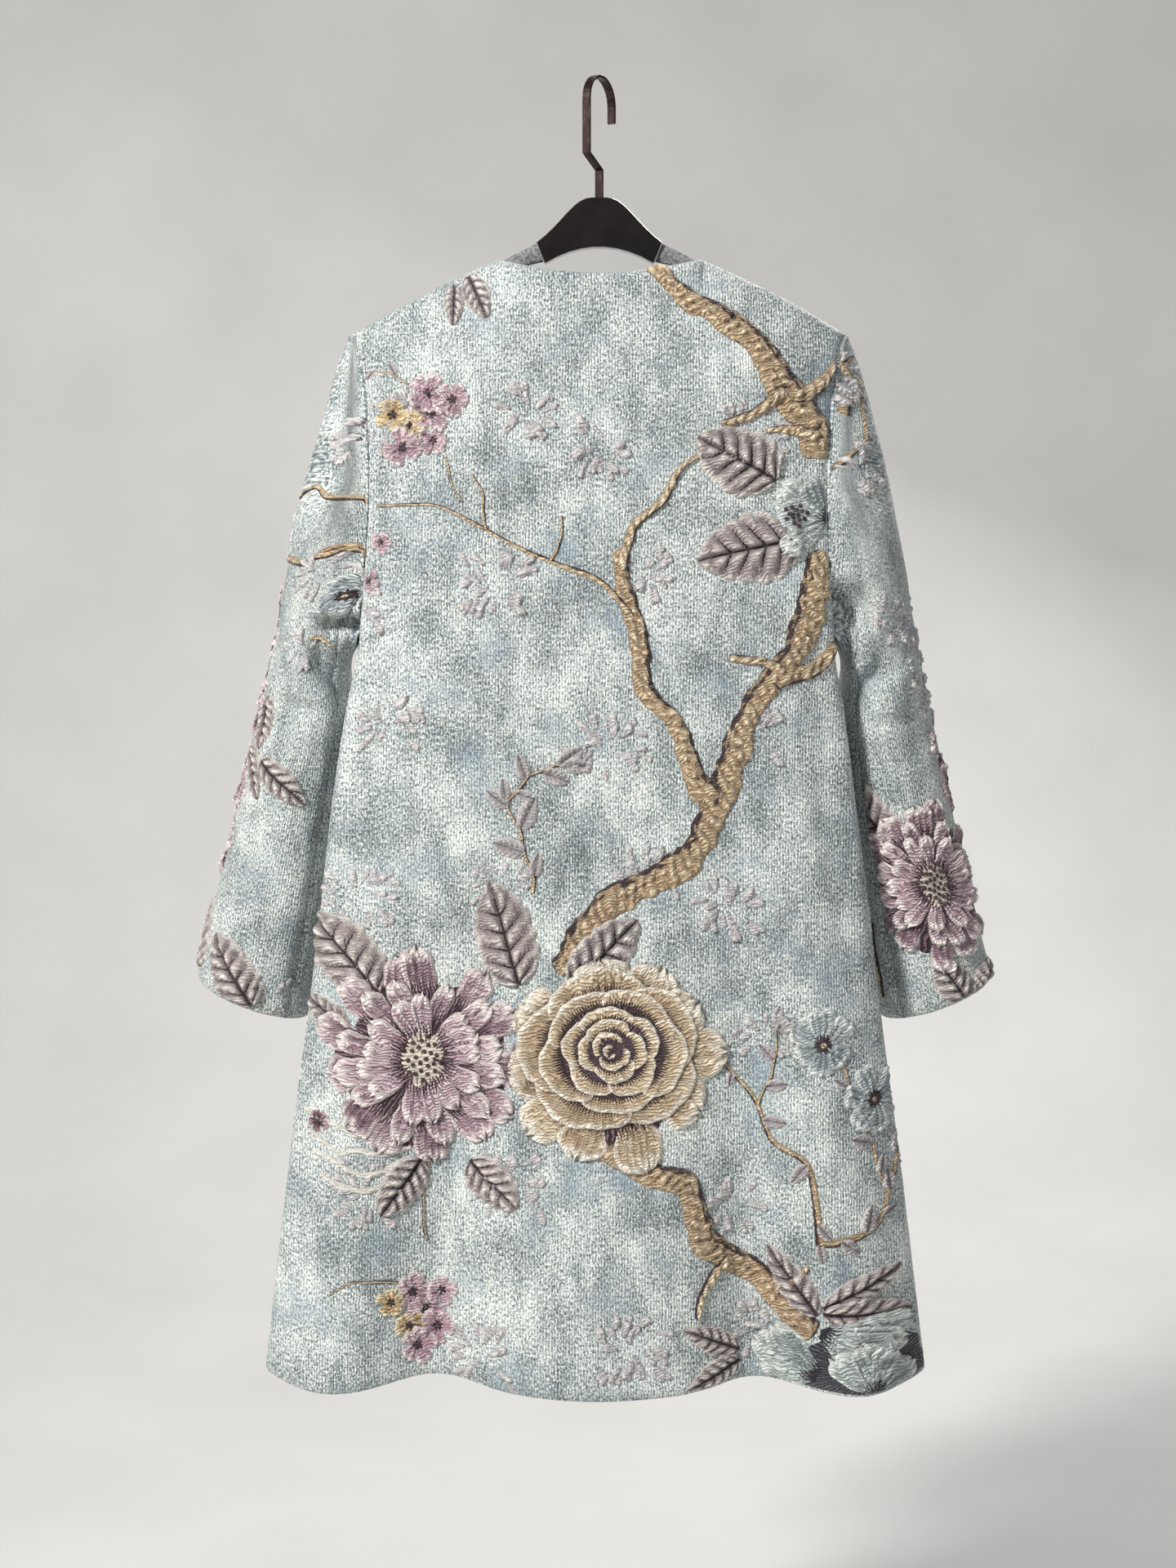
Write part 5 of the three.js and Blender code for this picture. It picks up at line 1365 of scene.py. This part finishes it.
TOP_T = 0.075  # the share of a panel's height whose rows lie closer
BODY_VS = spaced((0, TOP_T, 35, -0.6), (TOP_T, 1, 345, 0))
HALF_US = spaced((0, NECK_SHARE, 40, 0.5), (NECK_SHARE, 1, 70, 0.45))
BACK_US = np.concatenate([-HALF_US[:0:-1], HALF_US])
FRONT_START = FRONT_GAP / 2 / SHOULDER_X
FRONT_US = spaced((FRONT_START, NECK_SHARE, 30, 0.5), (NECK_SHARE, 1, 50, 0.45))
FRONT_VS = spaced((0, TOP_T, 30, -0.6), (TOP_T, 1, 270, 0))

SLEEVE_VS, UNDER_VS = np.linspace(0, LAST_RING, 211), np.linspace(0, LAST_RING, 151)
INSIDE_STEP = 5  # rows and columns of a panel's face to one of its inside
SLEEVE_SEAM = 0.28  # half a sleeve seam's gap, in degrees


def dress(panel, us, vs, open_edge):
    """Makes a panel's cloth and its figures, and hides the CAD part they stand in for."""
    panel.settle()
    cloth = ground(panel, us, vs, INSIDE_STEP, open_edge)
    cloth.data.materials.append(GROUND)
    figured = figures(panel)
    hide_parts(panel.name)
    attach(cloth, "root")


def make_body():
    back = BodyPanel("back", -1, (-1, 1), "back", 11)
    weave_back(back)
    dress(back, BACK_US, BODY_VS, lambda u, v: ((v == 1) | ((v == 0) & (np.abs(u) < NECK_SHARE))) * 1.0)
    for sign, hand in ((1, "right"), (-1, "left")):
        span = (FRONT_START, 1) if sign > 0 else (-1, -FRONT_START)
        front = BodyPanel("front_" + hand, 1, span, "front_" + hand, 31 + sign)
        weave_front(front, sign)
        us = FRONT_US if sign > 0 else -FRONT_US[::-1]
        dress(front, us, FRONT_VS, lambda u, v: (
            (v == 1) | ((v == 0) & (np.abs(u) < NECK_SHARE)) | (np.abs(u) <= FRONT_START)) * 1.0)


def make_sleeves():
    for arm, hand in ((1, "right"), (-1, "left")):
        for kind, span, columns, rows, weave in (
            ("top", (FORE_SEAM - 360 + SLEEVE_SEAM, HIND_SEAM - SLEEVE_SEAM), 111, SLEEVE_VS, weave_sleeve),
            ("under", (HIND_SEAM + SLEEVE_SEAM, FORE_SEAM - SLEEVE_SEAM), 41, UNDER_VS, weave_under),
        ):
            panel = SleevePanel(f"sleeve_{kind}_{hand}", arm, span, "sleeve_" + hand, 51 + arm)
            weave(panel, arm)
            dress(panel, np.linspace(*span, columns), rows, lambda u, v: (v == LAST_RING) * 1.0)


# Sizes of an arm in mm: where it meets the bell, its tip, height, half depth at each end, how far its foot
# is cut back to follow the bell's slanted side, and how far its top lies under the shoulder seam.
ARM_FROM, ARM_TIP, ARM_TALL, ARM_THIN, ARM_WIDE = 53.3, 176, 15.5, 2.9, 6.5
ARM_CUT_BACK, UNDER_CLOTH = 6.1, 3.6
ARM_SIDES = 24


def arm_section(x):
    """The middle height, half depth and height in metres of an arm's oval section x mm out."""
    share = (x - ARM_FROM) / (ARM_TIP - ARM_FROM)
    ridge = float(shoulder_seam(x)) - UNDER_CLOTH
    tall = ARM_TALL * (1 - 0.25 * share ** 4)
    return (ridge - tall / 2) * MM, (ARM_THIN + (ARM_WIDE - ARM_THIN) * share) * MM, tall * MM


def make_arm(sign):
    """An oval section drawn out along the shoulder, slanted at the bell and rounded at its tip."""
    bpy.ops.object.select_all(action="DESELECT")
    slant = math.atan(ARM_CUT_BACK / ARM_TALL)
    mid, half, tall = arm_section(ARM_FROM)
    radius, x = tall / 2 / math.cos(slant), (ARM_FROM - ARM_CUT_BACK / 2) * MM
    bpy.ops.mesh.primitive_circle_add(vertices=ARM_SIDES, radius=radius, fill_type="NGON",
                                      rotation=(0, math.pi / 2 + sign * slant, 0))
    arm = bpy.context.object
    bpy.ops.object.transform_apply(rotation=True)
    bpy.ops.object.mode_set(mode="EDIT")
    bpy.ops.mesh.select_all(action="SELECT")
    bpy.ops.transform.resize(value=(1, half / radius, 1))
    bpy.ops.transform.translate(value=(sign * x, 0, mid))
    for step in np.linspace(ARM_FROM + 5, ARM_TIP, 14):
        far, low, wide, high = step * MM, *arm_section(step)
        bpy.ops.mesh.extrude_region_move(TRANSFORM_OT_translate={"value": (sign * (far - x), 0, low - mid)})
        bpy.ops.transform.resize(value=(0, wide / half, high / tall), center_override=(sign * far, 0, low))
        x, mid, half, tall = far, low, wide, high
    bpy.ops.mesh.bevel(offset=0.0025, segments=4, affect="EDGES")
    bpy.ops.mesh.select_all(action="SELECT")
    bpy.ops.mesh.normals_make_consistent(inside=False)
    bpy.ops.object.mode_set(mode="OBJECT")
    bpy.ops.object.shade_smooth_by_angle(angle=0.7)
    return arm


def make_hanger():
    for name, finish in (("hanger_centre", gloss_finish()), ("hanger_hook", steel_finish())):
        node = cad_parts[name]
        node.data.materials.clear()
        node.data.materials.append(finish)
    grip = grip_finish()
    for name, sign in (("hanger_arm_right", 1), ("hanger_arm_left", -1)):
        arm = make_arm(sign)
        arm.name = "shaped_" + name[7:]
        arm.data.materials.append(grip)
        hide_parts(name)
        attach(arm, "root")


def area_light(name, place, size, power, color):
    """A disc of light turned to LIT_POINT."""
    light = bpy.data.lights.new(name, "AREA")
    light.shape, light.size, light.energy, light.color = "DISK", size, power, color
    made = bpy.data.objects.new(name, light)
    bpy.context.scene.collection.objects.link(made)
    made.location = place
    aim = np.array(LIT_POINT) - np.array(place)
    tilt, turn = math.atan2(math.hypot(aim[0], aim[1]), -aim[2]), math.atan2(aim[1], aim[0])
    made.rotation_euler = (tilt, 0, turn - math.pi / 2)


LIGHTS = {  # place and size in metres, power in watts, and colour
    "key": ((-2.45, -2.75, 1.75), 0.7, 252, (1, 0.985, 0.96)),
    "fill": ((2.2, -2.9, 0.1), 1.2, 22, (0.96, 0.98, 1)),
    "top": ((0.3, 0.5, 1.5), 1.0, 10, (1, 1, 1)),
    "front": ((0.8, 2.6, 0.9), 1.4, 44, (1, 1, 1)),
}
LIT_POINT = (0, 0, -0.6)
WORLD_COLOR, WORLD_STRENGTH = (0.86, 0.87, 0.89, 1), 0.18
FLOOR_SIZE, FLOOR_PLACE = 10, (0, -1.8, -1.55)  # metres
SWEEP_TALL, SWEEP_ROUND, FAR_EDGE_Y = 6, 1.6, 3
CAMERA_PLACE, CAMERA_DOWN = (-0.0095, -2.028, -0.4843), 3.158  # metres, and degrees below level
FOCAL, FRAME_TALL, SENSOR = 2900, 1920, 36  # focal length and height in pixels, and the sensor in mm


def make_studio():
    bpy.ops.object.select_all(action="DESELECT")
    bpy.ops.mesh.primitive_plane_add(size=FLOOR_SIZE, location=FLOOR_PLACE)
    floor = bpy.context.object
    floor.name = "studio_floor"
    bpy.ops.object.transform_apply(location=True)
    far = [all(floor.data.vertices[i].co.y > FAR_EDGE_Y for i in e.vertices) for e in floor.data.edges]
    for kind in (floor.data.vertices, floor.data.edges, floor.data.polygons):
        kind.foreach_set("select", np.zeros(len(kind), bool))
    for edge, chosen in zip(floor.data.edges, far):
        edge.select = chosen
    bpy.ops.object.mode_set(mode="EDIT")
    bpy.ops.mesh.select_mode(type="EDGE")
    bpy.ops.mesh.extrude_region_move(TRANSFORM_OT_translate={"value": (0, 0, SWEEP_TALL)})
    bpy.ops.object.mode_set(mode="OBJECT")
    for edge in floor.data.edges:
        a, b = (floor.data.vertices[i].co for i in edge.vertices)
        edge.select = min(a.y, b.y) > FAR_EDGE_Y and a.z < 0 and b.z < 0
    bpy.ops.object.mode_set(mode="EDIT")
    bpy.ops.mesh.bevel(offset=SWEEP_ROUND, segments=16, affect="EDGES")
    bpy.ops.object.mode_set(mode="OBJECT")
    bpy.ops.object.shade_smooth()
    floor.data.materials.append(floor_finish())
    for name, (place, size, power, color) in LIGHTS.items():
        area_light(name, place, size, power, color)
    world = bpy.data.worlds.new("studio")
    bpy.context.scene.world = world
    world.use_nodes = True
    back = next(n for n in world.node_tree.nodes if n.type == "BACKGROUND")
    back.inputs["Color"].default_value = WORLD_COLOR
    back.inputs["Strength"].default_value = WORLD_STRENGTH
    bpy.context.scene.view_settings.view_transform = "Standard"


def make_camera():
    camera = bpy.data.cameras.new("camera")
    camera.lens = FOCAL / FRAME_TALL * SENSOR
    camera.sensor_width = SENSOR
    made = bpy.data.objects.new("camera", camera)
    bpy.context.scene.collection.objects.link(made)
    made.location = CAMERA_PLACE
    made.rotation_euler = (math.radians(90 - CAMERA_DOWN), 0, 0)
    bpy.context.scene.camera = made


make_body()
make_sleeves()
make_hanger()
make_studio()
make_camera()
